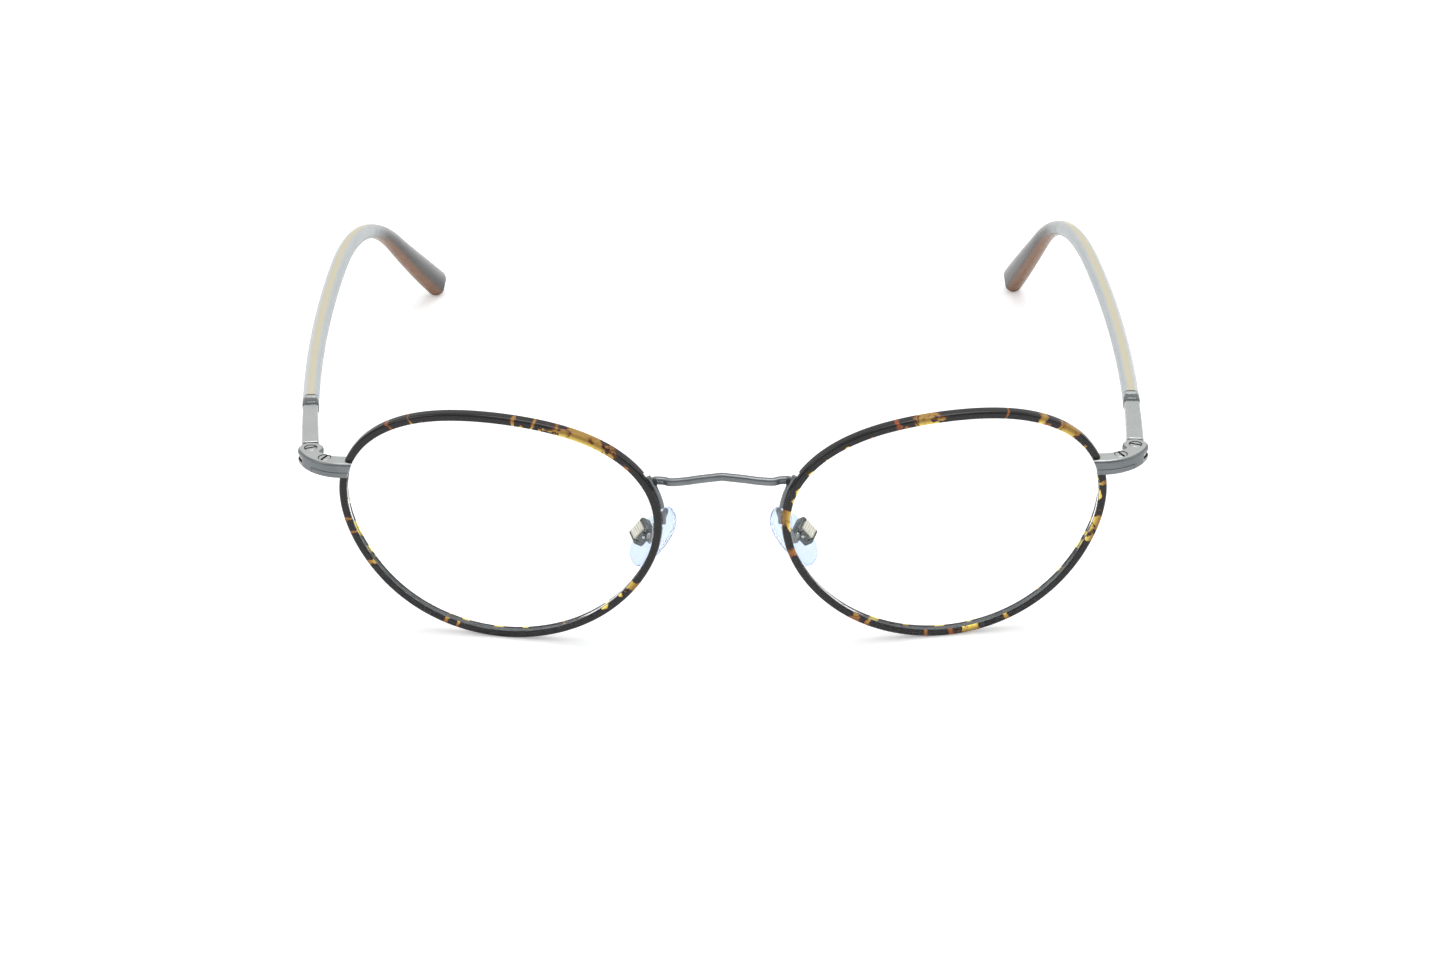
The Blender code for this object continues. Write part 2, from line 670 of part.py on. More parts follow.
def add_nose_pad(label, side, root):
    """A soft oval pad with a stem that reaches back through the holder's base."""
    frame = pad_frame(side)
    pivot = pad_pivot(side)
    base, face = holder_range()
    rings = []
    rows = 9
    for i in range(1, rows):
        angle = pi * i / rows
        height = -PAD_LENGTH / 2 * cos(angle)
        girth = sin(angle) ** 0.75
        outline = oval(PAD_THICKNESS * girth, PAD_WIDTH * girth, 14)
        ring = [(a * 0.9 if a > 0 else a, b, height) for a, b in outline]
        rings.append([frame @ Vector(p) for p in ring])
    pad = add_object("nose_pad_" + label, *loft(rings), SILICONE, root, pivot)
    stem_end = base + HOLDER_BASE + PAD_PLAY / 2
    half = STEM_SIZE / 2
    stem_box = box_in_pad_frame(side, (0, -half, -half), (stem_end, half, half))
    stem = add_object("pad_stem_" + label, *stem_box, None, root)
    combine(pad, [stem], "UNION")

    width_half = HOLDER_WIDTH / 2 - HOLDER_WALL - FIT
    length_half = INSERT_LENGTH / 2
    insert = add_object("pad_insert_" + label,
                        *box_in_pad_frame(side, (stem_end + FIT, -width_half, -length_half),
                                          (face + INSERT_PROUD, width_half, length_half)), IVORY, root, pivot)
    grooves = []
    groove_count = 3
    groove_size = 0.3
    for i in range(groove_count):
        height = length_half * (2 * (i + 0.5) / groove_count - 1)
        low = (face + INSERT_PROUD - groove_size / 2, -width_half * 2, height - groove_size / 2)
        high = (face + INSERT_PROUD * 2, width_half * 2, height + groove_size / 2)
        name = "rib_groove_%s_%d" % (label, i)
        grooves.append(add_object(name, *box_in_pad_frame(side, low, high), None, root))
    hole_shape = pin_in_pad_frame(side, PIN_RADIUS + FIT, HOLDER_WIDTH)
    pin_hole = add_object("pin_hole_" + label, *hole_shape, None, root)
    combine(insert, grooves + [pin_hole])

    length_half = HOLDER_LENGTH / 2
    holder_half = HOLDER_WIDTH / 2
    holder_box = box_in_pad_frame(side, (base, -holder_half, -length_half), (face, holder_half, length_half))
    holder = add_object("pad_holder_" + label, *holder_box, STEEL, root)
    pocket_half = INSERT_LENGTH / 2 + PAD_PLAY
    pocket_width = holder_half - HOLDER_WALL
    pocket_box = box_in_pad_frame(side, (base + HOLDER_BASE, -pocket_width, -pocket_half),
                                  (face + 1, pocket_width, pocket_half))
    pocket = add_object("holder_pocket_" + label, *pocket_box, None, root)
    window_half = STEM_SIZE / 2 + PAD_PLAY * 1.6
    window_box = box_in_pad_frame(side, (base - 1, -window_half, -window_half),
                                  (base + HOLDER_BASE + FIT, window_half, window_half))
    window = add_object("holder_window_" + label, *window_box, None, root)
    combine(holder, [pocket, window, pin_hole])
    pin_shape = pin_in_pad_frame(side, PIN_RADIUS, holder_half)
    add_object("pad_pin_" + label, *pin_shape, BRIGHT_STEEL, root, pivot)


def add_pad_arm(label, side, root):
    """A wire from a foot on the eyewire, back and round to the pad holder's front face."""
    floor = RIM_OVER_LENS - COVER_WALL
    middle_angle = radians((ARM_START + ARM_END) / 2)
    foot_middle = rim_point(middle_angle, floor + FOOT_THICKNESS / 2, RIM_DEPTH / 4, 1)
    behind_rim = rim_point(middle_angle, floor + FOOT_THICKNESS / 2, RIM_DEPTH * 1.5, 1)
    base, face = holder_range()
    frame = pad_frame(1)
    seat_height = HOLDER_LENGTH / 4
    holder_half = HOLDER_WIDTH / 2
    seat = frame @ Vector(((base + face) / 2, -holder_half - FIT, seat_height))
    approach = frame @ Vector(((base + face) / 2, -holder_half - 1.6, seat_height))
    halfway = behind_rim * 0.55 + approach * 0.45 + Vector((-0.2, 0.4, 0.3))
    line = smooth_curve([foot_middle, behind_rim, halfway, approach, seat], 4)
    line = [Vector((side * p.x, p.y, p.z)) for p in line]
    wire = oval(2 * ARM_RADIUS, 2 * ARM_RADIUS, 8)
    rings = [place_section(f, wire) for f in path_frames(line, Vector((1, 0, 0)))]
    arm = add_object("pad_arm_" + label, *loft(rings), STEEL, root)
    section = foot_section(FIT, RIM_DEPTH / 2, FOOT_THICKNESS)
    foot_sweep = rim_sweep(section, side, outline_angles(ARM_START, ARM_END, 3), False)
    foot = add_object("arm_foot_" + label, *foot_sweep, None, root)
    combine(arm, [foot], "UNION")
    trim = box_in_pad_frame(side, (base - 1, -holder_half - FIT, -HOLDER_LENGTH),
                            (face + 1, holder_half, HOLDER_LENGTH))
    combine(arm, [add_object("arm_trim_" + label, *trim, None, root), cover_space(label, side, root)])


# ---------------------------------------------------------------- temples

def temple_walk(label, side, drop, stations):
    """Frames at distances along the temple, for a drop angle of its tip below the level."""
    bend = radians(TEMPLE_CLIMB + drop)
    bottom, _, top = end_levels()
    here = hinge_point(1) + Vector((0, 0, (bottom + top) / 2))
    frames = []
    step = 0.5
    travelled = 0.0
    for station in stations:
        while travelled < station - 1e-9:
            advance = min(step, station - travelled)
            here = here + temple_direction(label, bend, travelled + advance / 2) * advance
            travelled += advance
        ahead = temple_direction(label, bend, station)
        across = ahead.cross(Vector((0, 0, 1))).normalized()
        up = across.cross(ahead)
        frames.append((Vector((side * here.x, here.y, here.z)), Vector((side * across.x, across.y, across.z)),
                       Vector((side * up.x, up.y, up.z))))
    return frames


def temple_direction(label, bend, distance):
    """Direction of the right-hand form of a temple at a distance along it, for its total bend."""
    bent = min(max((distance - BEND_START) / (BEND_RADIUS * bend), 0), 1)
    past_bend = min(max((distance - BEND_START) / (TEMPLE_LENGTH - BEND_START), 0), 1)
    pitch = radians(TEMPLE_CLIMB) - bend * bent
    heading = radians(SPLAY[label] - TEMPLE_CURL * distance + TIP_TURN[label] * past_bend)
    return Vector((sin(heading) * cos(pitch), cos(heading) * cos(pitch), sin(pitch)))


def temple_drop(label):
    """Drop angle at which the lowest point of the tip rests on the surface below."""
    low, high = 10.0, 80.0
    for _ in range(30):
        middle = (low + high) / 2
        rings = sleeve_outer(label, 1, middle)
        lowest = min(p.z for ring in rings for p in ring)
        if lowest > 0:
            low = middle
        else:
            high = middle
    return low


def sleeve_stations():
    start = BAR_START + BAR_LENGTH + COLLAR_LENGTH + 2 * FIT
    tip_round = TIP_WIDTH / 2
    count = 22
    stations = [start + (TEMPLE_LENGTH - tip_round - start) * i / count for i in range(count + 1)]
    return stations + [TEMPLE_LENGTH - tip_round * 0.4, TEMPLE_LENGTH - tip_round * 0.08]


def sleeve_size(distance):
    """Width and height of the sleeve at a distance along the temple."""
    share = min(max((distance - TIP_FLARE_START) / (TEMPLE_LENGTH - TIP_FLARE_START), 0), 1)
    ease = share * share * (3 - 2 * share)
    width = SLEEVE_WIDTH + (TIP_WIDTH - SLEEVE_WIDTH) * ease
    height = SLEEVE_HEIGHT + (TIP_HEIGHT - SLEEVE_HEIGHT) * ease
    left = TEMPLE_LENGTH - distance
    tip_round = TIP_WIDTH / 2
    if left < tip_round:
        shrink = (1 - (1 - left / tip_round) ** 2) ** 0.5
        width *= shrink
        height *= 1 - (1 - shrink) * TIP_WIDTH / TIP_HEIGHT
    return width, height


def sleeve_outer(label, side, drop):
    stations = sleeve_stations()
    rings = []
    for distance, frame in zip(stations, temple_walk(label, side, drop, stations)):
        width, height = sleeve_size(distance)
        rounding = SLEEVE_ROUNDING * min(width, height)
        rings.append(place_section(frame, rounded_box(width, height, rounding)))
    return rings


def add_sleeve(label, side, drop, root, origin):
    """A tube with a blind bore for the core wire, flared and closed at its tip."""
    outer = sleeve_outer(label, side, drop)
    bore_end = TEMPLE_LENGTH - CORE_END_MARGIN + FIT
    stations = [d for d in sleeve_stations() if d < bore_end - 1] + [bore_end]
    inner = []
    for frame in temple_walk(label, side, drop, stations):
        inner.append(place_section(frame, oval(CORE_WIDTH + 4 * FIT, CORE_HEIGHT + 4 * FIT, 12)))
    rings = inner[::-1] + outer
    add_object("temple_sleeve_" + label, *loft(rings), SLEEVE_GREY, root, origin)


def add_core_wire(label, side, drop, root, origin):
    start = BAR_START + BAR_LENGTH + FIT
    stop = TEMPLE_LENGTH - CORE_END_MARGIN
    inside = [d for d in sleeve_stations() if d < stop - 1]
    frames = temple_walk(label, side, drop, [start] + inside + [stop])
    rings = [place_section(frame, oval(CORE_WIDTH, CORE_HEIGHT, 8)) for frame in frames]
    add_object("core_wire_" + label, *loft(rings), CORE_GOLD, root, origin)


def add_collar(label, side, drop, root, origin):
    """A ring between the metal bar and the sleeve, with a groove around it."""
    start = BAR_START + BAR_LENGTH + FIT
    groove = 0.12
    marks = ((0.0, groove), (0.12, 0.0), (0.55, 0.0), (0.56, groove), (0.62, groove), (0.63, 0.0), (1.0, 0.0))
    frames = temple_walk(label, side, drop, [start + share * COLLAR_LENGTH for share, _ in marks])
    outer = []
    for frame, (share, inset) in zip(frames, marks):
        section = rounded_box(COLLAR_WIDTH - 2 * inset, COLLAR_HEIGHT - 2 * inset, COLLAR_ROUNDING - inset)
        outer.append(place_section(frame, section))
    bore = oval(CORE_WIDTH + 2 * FIT, CORE_HEIGHT + 2 * FIT, 12)
    inner = [place_section(frame, bore) for frame in (frames[0], frames[-1])]
    rings = [inner[0]] + outer + [inner[1]]
    add_object("collar_" + label, *loft(rings, closed_path=True), BRIGHT_STEEL, root, origin)


def add_temple_bar(label, side, drop, root, origin):
    """A metal bar with one hinge knuckle that runs between the end piece's ears."""
    stations = [BAR_START, BAR_START + 0.3, BAR_START + BAR_LENGTH / 2, BAR_START + BAR_LENGTH]
    widths = [BAR_WIDTH - 0.3, BAR_WIDTH, (BAR_WIDTH + BAR_END_WIDTH) / 2, BAR_END_WIDTH]
    rings = []
    for frame, width in zip(temple_walk(label, side, drop, stations), widths):
        height = BAR_HEIGHT - (BAR_WIDTH - width)
        rings.append(place_section(frame, rounded_box(width, height, 0.5)))
    bar = add_object("temple_bar_" + label, *loft(rings), BRIGHT_STEEL, root, origin)
    bottom, _, top = end_levels()
    middle = (bottom + top) / 2
    half = KNUCKLE_HEIGHT / 2
    hinge = hinge_point(side)
    knuckle_shape = cylinder(hinge, KNUCKLE_RADIUS, middle - half, middle + half, 20)
    knuckle = add_object("knuckle_" + label, *knuckle_shape, None, root)
    turn = Matrix.Rotation(radians(-side * SPLAY[label]), 3, "Z")
    neck_half = BAR_WIDTH / 2 - 0.3
    neck_end = BAR_START + 1
    neck_rings = []
    for z in (middle - half, middle + half):
        corners = [(-neck_half, 0), (neck_half, 0), (neck_half, neck_end), (-neck_half, neck_end)]
        neck_rings.append([hinge + turn @ Vector((x, y, 0)) + Vector((0, 0, z)) for x, y in corners])
    neck = add_object("neck_" + label, *loft(neck_rings), None, root)
    combine(bar, [knuckle, neck], "UNION")
    hole = add_object("knuckle_hole_" + label,
                      *cylinder(hinge, SCREW_SHANK_RADIUS + RUNNING, middle - 1, middle + 1), None, root)
    combine(bar, [hole])


def add_temple(label, side, root):
    bottom, _, top = end_levels()
    origin = hinge_point(side) + Vector((0, 0, (bottom + top) / 2))
    drop = temple_drop(label)
    add_temple_bar(label, side, drop, root, origin)
    add_collar(label, side, drop, root, origin)
    add_core_wire(label, side, drop, root, origin)
    add_sleeve(label, side, drop, root, origin)


def centre_over_origin(root):
    """Moves the root so that the object's width and depth are centred over the origin."""
    sleeves = [p for label, side in SIDES.items()
               for ring in sleeve_outer(label, side, temple_drop(label)) for p in ring]
    widths = [p.x for p in sleeves]
    front = min(rim_point(angle, reach, depth, 1).y
                for angle in outline_angles()
                for reach, depth in cover_section())
    back = max(p.y for p in sleeves)
    root.location.x = -(min(widths) + max(widths)) / 2 * MM
    root.location.y = -(front + back) / 2 * MM


def build_glasses():
    remove_everything()
    root = bpy.data.objects.new("glasses", None)
    bpy.context.scene.collection.objects.link(root)
    add_bridge(root)
    for label, side in SIDES.items():
        add_rim(label, side, root)
        add_lens(label, side, root)
        add_end_piece(label, side, root)
        add_pad_arm(label, side, root)
        add_nose_pad(label, side, root)
        add_temple(label, side, root)
    centre_over_origin(root)


build_glasses()
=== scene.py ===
"""Looks for the oval eyeglasses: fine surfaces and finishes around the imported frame.

Sizes below are millimetres and degrees in the maker's frame: the middle plane at x = 0, the lens
centres at y = 0 and the surface that the glasses stand on at z = 0. Meshes are in metres.
"""
import json
from math import atan2, cos, hypot, pi, radians, sin

import bmesh
import bpy
from mathutils import Matrix, Vector


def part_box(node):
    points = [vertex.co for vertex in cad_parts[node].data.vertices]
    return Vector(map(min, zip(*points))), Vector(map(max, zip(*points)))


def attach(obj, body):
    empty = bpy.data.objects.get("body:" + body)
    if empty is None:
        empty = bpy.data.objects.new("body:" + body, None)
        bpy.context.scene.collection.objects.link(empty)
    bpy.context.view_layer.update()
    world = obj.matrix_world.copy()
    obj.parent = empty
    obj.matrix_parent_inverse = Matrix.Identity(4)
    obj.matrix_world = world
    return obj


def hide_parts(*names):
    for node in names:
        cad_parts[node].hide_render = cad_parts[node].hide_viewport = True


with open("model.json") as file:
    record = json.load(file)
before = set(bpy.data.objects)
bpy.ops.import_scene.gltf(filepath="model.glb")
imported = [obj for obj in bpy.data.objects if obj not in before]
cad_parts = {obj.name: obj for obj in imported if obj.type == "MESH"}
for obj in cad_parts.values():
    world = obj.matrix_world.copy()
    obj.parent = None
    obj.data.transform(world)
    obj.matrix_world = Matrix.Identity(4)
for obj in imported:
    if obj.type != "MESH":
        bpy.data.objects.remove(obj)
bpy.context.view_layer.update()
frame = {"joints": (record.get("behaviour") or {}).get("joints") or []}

MM = 0.001
SIDES = {"left": -1, "right": 1}
UP = Vector((0, 0, 1))

# Lenses and rims
LENS_WIDTH = 50.0
LENS_HEIGHT = 39.8
LENS_SPACING = 70.85
LENS_THICKNESS = 1.5
LENS_BEVEL_HEIGHT = 0.54
LENS_BEVEL_WIDTH = 0.8
BASE_CURVE_RADIUS = 130.0
FACE_FORM = 9.3
FRONT_TILT = 5.0
OUTLINE_EGG = 0.0376
OUTLINE_SWEEP = -0.0085
OUTLINE_LEAN = 0.007
OUTLINE_SQUARE = -0.006
RIM_OVER_LENS = 0.9
RIM_LIP = 0.35
RIM_DEPTH = 1.75
RIM_ROUNDING = 0.45
LIP_ROUNDING = 0.15
COVER_WALL = 0.4
EYEWIRE_DEPTH = 1.2
EYEWIRE_LIP = 0.23
GROOVE_WIDTH = 0.9
GROOVE_FLOOR = 0.12
EYEWIRE_SLIT = 0.1
OUTLINE_STEPS = 240

# End pieces and hinges
HINGE_SETBACK = 9.8
END_RISE = 7.97
END_ROUNDING = 0.45
SPLIT_HEIGHT = 1.05
SPLIT_GAP = 0.09
BARREL_RADIUS = 2.05
KNUCKLE_RADIUS = 1.75
KNUCKLE_HEIGHT = 0.9
SCREW_HEAD_RADIUS = 0.95
SCREW_HEAD_DEPTH = 0.4
SCREW_SHANK_RADIUS = 0.6
HEAD_GAP = 0.11
SCREW_TIP_RISE = 0.15
SLOT_WIDTH = 0.38
SLOT_DEPTH = 0.36
HINGE_SLOT_TURN = 22
CLOSING_SLOT_TURN = 28

# Bridge and nose pads
BRIDGE_RISE = 8.82
BRIDGE_HEIGHT = 1.25
BRIDGE_DEPTH = 1.1
FOOT_THICKNESS = 0.85
FOOT_START = 153.0
FOOT_END = 168.0
ARM_START = 170.5
ARM_END = 175.5
NOTCH_MARGIN = 2.5
ARM_RADIUS = 0.45
PAD_LENGTH = 11.0
PAD_WIDTH = 7.4
PAD_THICKNESS = 2.0
PAD_POSITION = Vector((11.25, 9.3, -6.6))
PAD_FRONTAL_ANGLE = 39.0
PAD_SPLAY_ANGLE = 24.0
HOLDER_LENGTH = 3.7
HOLDER_WIDTH = 3.1
HOLDER_DEPTH = 1.9
HOLDER_BASE = 0.5
HOLDER_WALL = 0.5
HOLDER_STANDOFF = 0.45
HOLDER_ROUNDING = 0.42
INSERT_LENGTH = 2.3
INSERT_PROUD = 0.35
GROOVE_COUNT = 5
GROOVE_SHARE = 0.42
GROOVE_DEPTH = 0.2
PIN_RADIUS = 0.32
STEM_SIZE = 1.1
PAD_PLAY = 0.25

# Temples
TEMPLE_LENGTH = 139.0
TEMPLE_CLIMB = 3.0
TEMPLE_CURL = 0.173
BEND_START = 66.0
BEND_RADIUS = 60.0
SPLAY = {"left": 7.5, "right": 3.9}
TIP_TURN = {"left": -0.8, "right": 10.0}
BAR_START = 2.25
BAR_LENGTH = 12.9
BAR_WIDTH = 2.75
BAR_END_WIDTH = 2.4
BAR_HEIGHT = 2.3
COLLAR_LENGTH = 2.6
COLLAR_WIDTH = 2.65
COLLAR_HEIGHT = 2.5
COLLAR_ROUNDING = 0.75
SLEEVE_WIDTH = 2.65
SLEEVE_HEIGHT = 2.55
SLEEVE_ROUNDING = 0.4
TIP_ROUNDING = 0.485
ROUNDER_FROM = 70.0
ROUNDER_TO = 110.0
SMOKE_FROM = 84.0
SMOKE_TO = 104.0
TIP_WIDTH = 3.3
TIP_HEIGHT = 4.9
TIP_FLARE_START = 92.0
CORE_WIDTH = 0.7
CORE_HEIGHT = 1.5
CORE_END_MARGIN = 14.0
FIT = 0.05

# Stage, in metres
CAMERA_PLACE = (0.01012, -0.60255, 0.30182)
CAMERA_AHEAD = (-0.0156, 0.8909, -0.4540)
CAMERA_ROLL = 0.695
CAMERA_LENS = 96.26
FLOOR_HALF_SIZE = 6.0
FLOOR_DROP = 0.00002
FLOOR_LIFT = 0.34
LIGHTS = (("overhead", (0.1, -0.05, 1.1), (0.9, 0.7), 4.6),
          ("left_fill", (-0.9, -0.4, 0.7), (0.5, 0.5), 1.3),
          ("right_fill", (0.9, -0.2, 0.6), (0.4, 0.5), 1.0))

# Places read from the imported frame
HINGES = {joint["name"].split("_")[0]: Vector(joint["pos_m"]) / MM
          for joint in frame["joints"] if joint["name"].endswith("fold")}
HINGE_HALF_SPAN = (HINGES["right"].x - HINGES["left"].x) / 2
MIDDLE_X = (HINGES["right"].x + HINGES["left"].x) / 2
FRAME_OFFSET = Vector((MIDDLE_X, HINGES["right"].y - HINGE_SETBACK, 0))
END_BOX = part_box("end_piece_right")
END_BOTTOM = END_BOX[0].z / MM
END_TOP = END_BOX[1].z / MM
END_MIDDLE = (END_BOTTOM + END_TOP) / 2
END_SPLIT = END_BOTTOM + SPLIT_HEIGHT
LENS_CENTRE_HEIGHT = END_MIDDLE - END_RISE


# ---------------------------------------------------------------- mesh making

def mesh_object(name, points, faces):
    """Makes a closed mesh in the frame's metres from points in the maker's millimetres."""
    mesh = bpy.data.meshes.new(name)
    mesh.from_pydata([(Vector(p) + FRAME_OFFSET) * MM for p in points], [], faces)
    shape = bmesh.new()
    shape.from_mesh(mesh)
    bmesh.ops.recalc_face_normals(shape, faces=shape.faces)
    shape.to_mesh(mesh)
    shape.free()
    item = bpy.data.objects.new(name, mesh)
    bpy.context.scene.collection.objects.link(item)
    return item


def baked(item):
    """Turns an object's modifiers into plain mesh."""
    depsgraph = bpy.context.evaluated_depsgraph_get()
    mesh = bpy.data.meshes.new_from_object(item.evaluated_get(depsgraph), depsgraph=depsgraph)
    old = item.data
    item.modifiers.clear()
    item.data = mesh
    bpy.data.meshes.remove(old)
    return item


def carve(item, tools, operation="DIFFERENCE"):
    for tool in tools:
        modifier = item.modifiers.new(tool.name, "BOOLEAN")
        modifier.operation = operation
        modifier.object = tool
        modifier.solver = "EXACT"
    bpy.context.view_layer.update()
    baked(item)
    for tool in tools:
        bpy.data.objects.remove(tool, do_unlink=True)
    return item


def soften(item, width, segments=2, angle=40):
    """Rounds the sharp edges by a width in millimetres."""
    modifier = item.modifiers.new("rounded_edges", "BEVEL")
    modifier.width = width * MM
    modifier.segments = segments
    modifier.limit_method = "ANGLE"
    modifier.angle_limit = radians(angle)
    modifier.harden_normals = False
    bpy.context.view_layer.update()
    return baked(item)


def finish_piece(item, material, body, slot, *nodes, smooth_angle=35):
    item.data.shade_smooth()
    item.data.set_sharp_from_angle(angle=radians(smooth_angle))
    item.data.materials.clear()
    item.data.materials.append(material)
    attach(item, body)
    if nodes:
        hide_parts(*nodes)
    return item


def shade_recess(item, material, inside):
    """Paints shade: the faces whose middle is inside a recess get a darker material."""
    item.data.materials.append(material)
    for face in item.data.polygons:
        if inside(face.center / MM - FRAME_OFFSET):
            face.material_index = 1


def mark_lit_tops(item):
    """Notes on each corner point how far the faces around it look up; the upward faces get a
    painted reflection.
    """
    mesh = item.data
    values = [0.0] * len(mesh.vertices)
    for face in mesh.polygons:
        # Faces that look up get 1; their corners take the painted reflection
        if face.normal.z > 0.9:
            for index in face.vertices:
                values[index] = 1.0
    mesh.attributes.new("lit_top", "FLOAT", "POINT").data.foreach_set("value", values)


def loft(rings, closed_path=False):
    size = len(rings[0])
    points = [p for ring in rings for p in ring]
    count = len(rings)
    faces = []
    for i in range(count if closed_path else count - 1):
        here = i * size
        there = ((i + 1) % count) * size
        for j in range(size):
            k = (j + 1) % size
            faces.append((here + j, here + k, there + k, there + j))
    if not closed_path:
        faces.append(tuple(range(size - 1, -1, -1)))
        faces.append(tuple(range((count - 1) * size, count * size)))
    return points, faces


def lofted(name, rings):
    """A closed skin through the rings, with both ends capped."""
    return mesh_object(name, *loft(rings))


def smooth_curve(marks, steps):
    marks = [Vector(m) for m in marks]
    ends = [2 * marks[0] - marks[1]] + marks + [2 * marks[-1] - marks[-2]]
    curve = []
    for i in range(1, len(ends) - 2):
        before, start, stop, after = ends[i - 1:i + 3]
        for j in range(steps):
            t = j / steps
            bend = 2 * before - 5 * start + 4 * stop - after
            twist = 3 * start - before - 3 * stop + after
            curve.append(start + 0.5 * (t * (stop - before) + t * t * bend + t ** 3 * twist))
    curve.append(marks[-1])
    return curve


def path_frames(path, up):
    frames = []
    for i, here in enumerate(path):
        ahead = path[min(i + 1, len(path) - 1)] - path[max(i - 1, 0)]
        across = ahead.cross(up).normalized()
        frames.append((here, across, across.cross(ahead).normalized()))
    return frames


def oval(width, height, count):
    turn = 2 * pi / count
    return [(width / 2 * cos(i * turn), height / 2 * sin(i * turn)) for i in range(count)]


def rounded_box(width, height, rounding, corner_steps=6):
    outline = []
    for corner in range(4):
        middle = pi / 4 + corner * pi / 2
        centre_x = (width / 2 - rounding) * (1 if cos(middle) > 0 else -1)
        centre_y = (height / 2 - rounding) * (1 if sin(middle) > 0 else -1)
        for j in range(corner_steps + 1):
            angle = corner * pi / 2 + j * pi / 2 / corner_steps
            outline.append((centre_x + rounding * cos(angle), centre_y + rounding * sin(angle)))
    return outline


def place_section(placed, section):
    here, across, up = placed
    return [here + across * a + up * b for a, b in section]


def arc(centre, radius, start, stop, steps):
    """Points on an arc, as pairs, between two angles in degrees."""
    return [(centre[0] + radius * cos(radians(start + (stop - start) * i / steps)),
             centre[1] + radius * sin(radians(start + (stop - start) * i / steps)))
            for i in range(steps + 1)]


# ---------------------------------------------------------------- lens outline

def lens_edge(angle):
    scale = (1 + OUTLINE_SWEEP * cos(3 * angle) + OUTLINE_EGG * sin(3 * angle)
             + OUTLINE_LEAN * sin(2 * angle) + OUTLINE_SQUARE * cos(4 * angle))
    return LENS_WIDTH / 2 * cos(angle) * scale, LENS_HEIGHT / 2 * sin(angle) * scale


def lens_edge_normal(angle):
    step = 0.001
    before = lens_edge(angle - step)
    after = lens_edge(angle + step)
    run = after[0] - before[0]
    rise = after[1] - before[1]
    length = hypot(run, rise)
    return rise / length, -run / length


def sag(u, v):
    return (u * u + v * v) / (2 * BASE_CURVE_RADIUS)


def from_lens_plane(u, v, depth, side):
    turn = radians(FACE_FORM)
    x = LENS_SPACING / 2 + u * cos(turn) - depth * sin(turn)
    y = u * sin(turn) + depth * cos(turn)
    lean = Matrix.Rotation(radians(FRONT_TILT), 3, "X")
    return lean @ Vector((side * x, y, v)) + Vector((0, 0, LENS_CENTRE_HEIGHT))


def rim_point(angle, reach, depth, side):
    u, v = lens_edge(angle)
    normal_u, normal_v = lens_edge_normal(angle)
    return from_lens_plane(u + reach * normal_u, v + reach * normal_v, sag(u, v) + depth, side)


def angles_between(start, stop, steps):
    return [radians(start + (stop - start) * i / steps) for i in range(steps + 1)]


def angles_around(steps):
    return angles_between(0, 360, steps)[:-1]


def rim_sweep(section, side, angles, closed_path):
    rings = [[rim_point(angle, reach, depth, side) for reach, depth in section] for angle in angles]
    return loft(rings, closed_path)


# ---------------------------------------------------------------- shader helpers

def new_material(name, **settings):
    """A material with one Principled shader; settings are its socket values."""
    material = bpy.data.materials.new(name)
    material.use_nodes = True
    shader = material.node_tree.nodes["Principled BSDF"]
    for socket, value in settings.items():
        shader.inputs[socket.replace("_", " ")].default_value = value
    return material, material.node_tree, shader


def add_node(tree, kind, inputs=None, **settings):
    made = tree.nodes.new(kind)
    for name, value in settings.items():
        setattr(made, name, value)
    for name, value in (inputs or {}).items():
        if isinstance(value, bpy.types.NodeSocket):
            tree.links.new(value, made.inputs[name])
        else:
            made.inputs[name].default_value = value
    return made


def maths(tree, operation, first, second=0.0, third=0.0, clamp=False):
    made = tree.nodes.new("ShaderNodeMath")
    made.operation = operation
    made.use_clamp = clamp
    for i, value in enumerate((first, second, third)):
        if isinstance(value, bpy.types.NodeSocket):
            tree.links.new(value, made.inputs[i])
        else:
            made.inputs[i].default_value = value
    return made.outputs[0]


def blend_colours(tree, factor, first, second):
    made = tree.nodes.new("ShaderNodeMix")
    made.data_type = "RGBA"
    for i, value in ((0, factor), (6, first), (7, second)):
        if isinstance(value, bpy.types.NodeSocket):
            tree.links.new(value, made.inputs[i])
        else:
            made.inputs[i].default_value = (*value, 1.0) if i else value
    return made.outputs[2]


def times(tree, first, second):
    return maths(tree, "MULTIPLY", first, second)


def mesh_value(tree, name):
    """A number that the mesh carries on its points."""
    return add_node(tree, "ShaderNodeAttribute", attribute_name=name).outputs["Fac"]


def feed(tree, shader, **sources):
    """Links sources to the shader's sockets of those names."""
    for socket, source in sources.items():
        tree.links.new(source, shader.inputs[socket.replace("_", " ")])


def smooth_mask(tree, value, low, high):
    """0 below low, 1 above high, eased between."""
    made = add_node(tree, "ShaderNodeMapRange", {"From Min": low, "From Max": high},
                    interpolation_type="SMOOTHSTEP")
    tree.links.new(value, made.inputs["Value"])
    return made.outputs["Result"]


def object_noise(tree, scale, detail=3.0, stretch=(1.0, 1.0, 1.0), distortion=0.0):
    """Noise on object coordinates; the scale is in features for each metre."""
    place = add_node(tree, "ShaderNodeTexCoord")
    mapping = add_node(tree, "ShaderNodeMapping",
                       {"Vector": place.outputs["Object"], "Scale": stretch})
    noise = add_node(tree, "ShaderNodeTexNoise",
                     {"Vector": mapping.outputs["Vector"], "Scale": scale, "Detail": detail,
                      "Roughness": 0.55, "Distortion": distortion})
    return noise.outputs["Fac"]


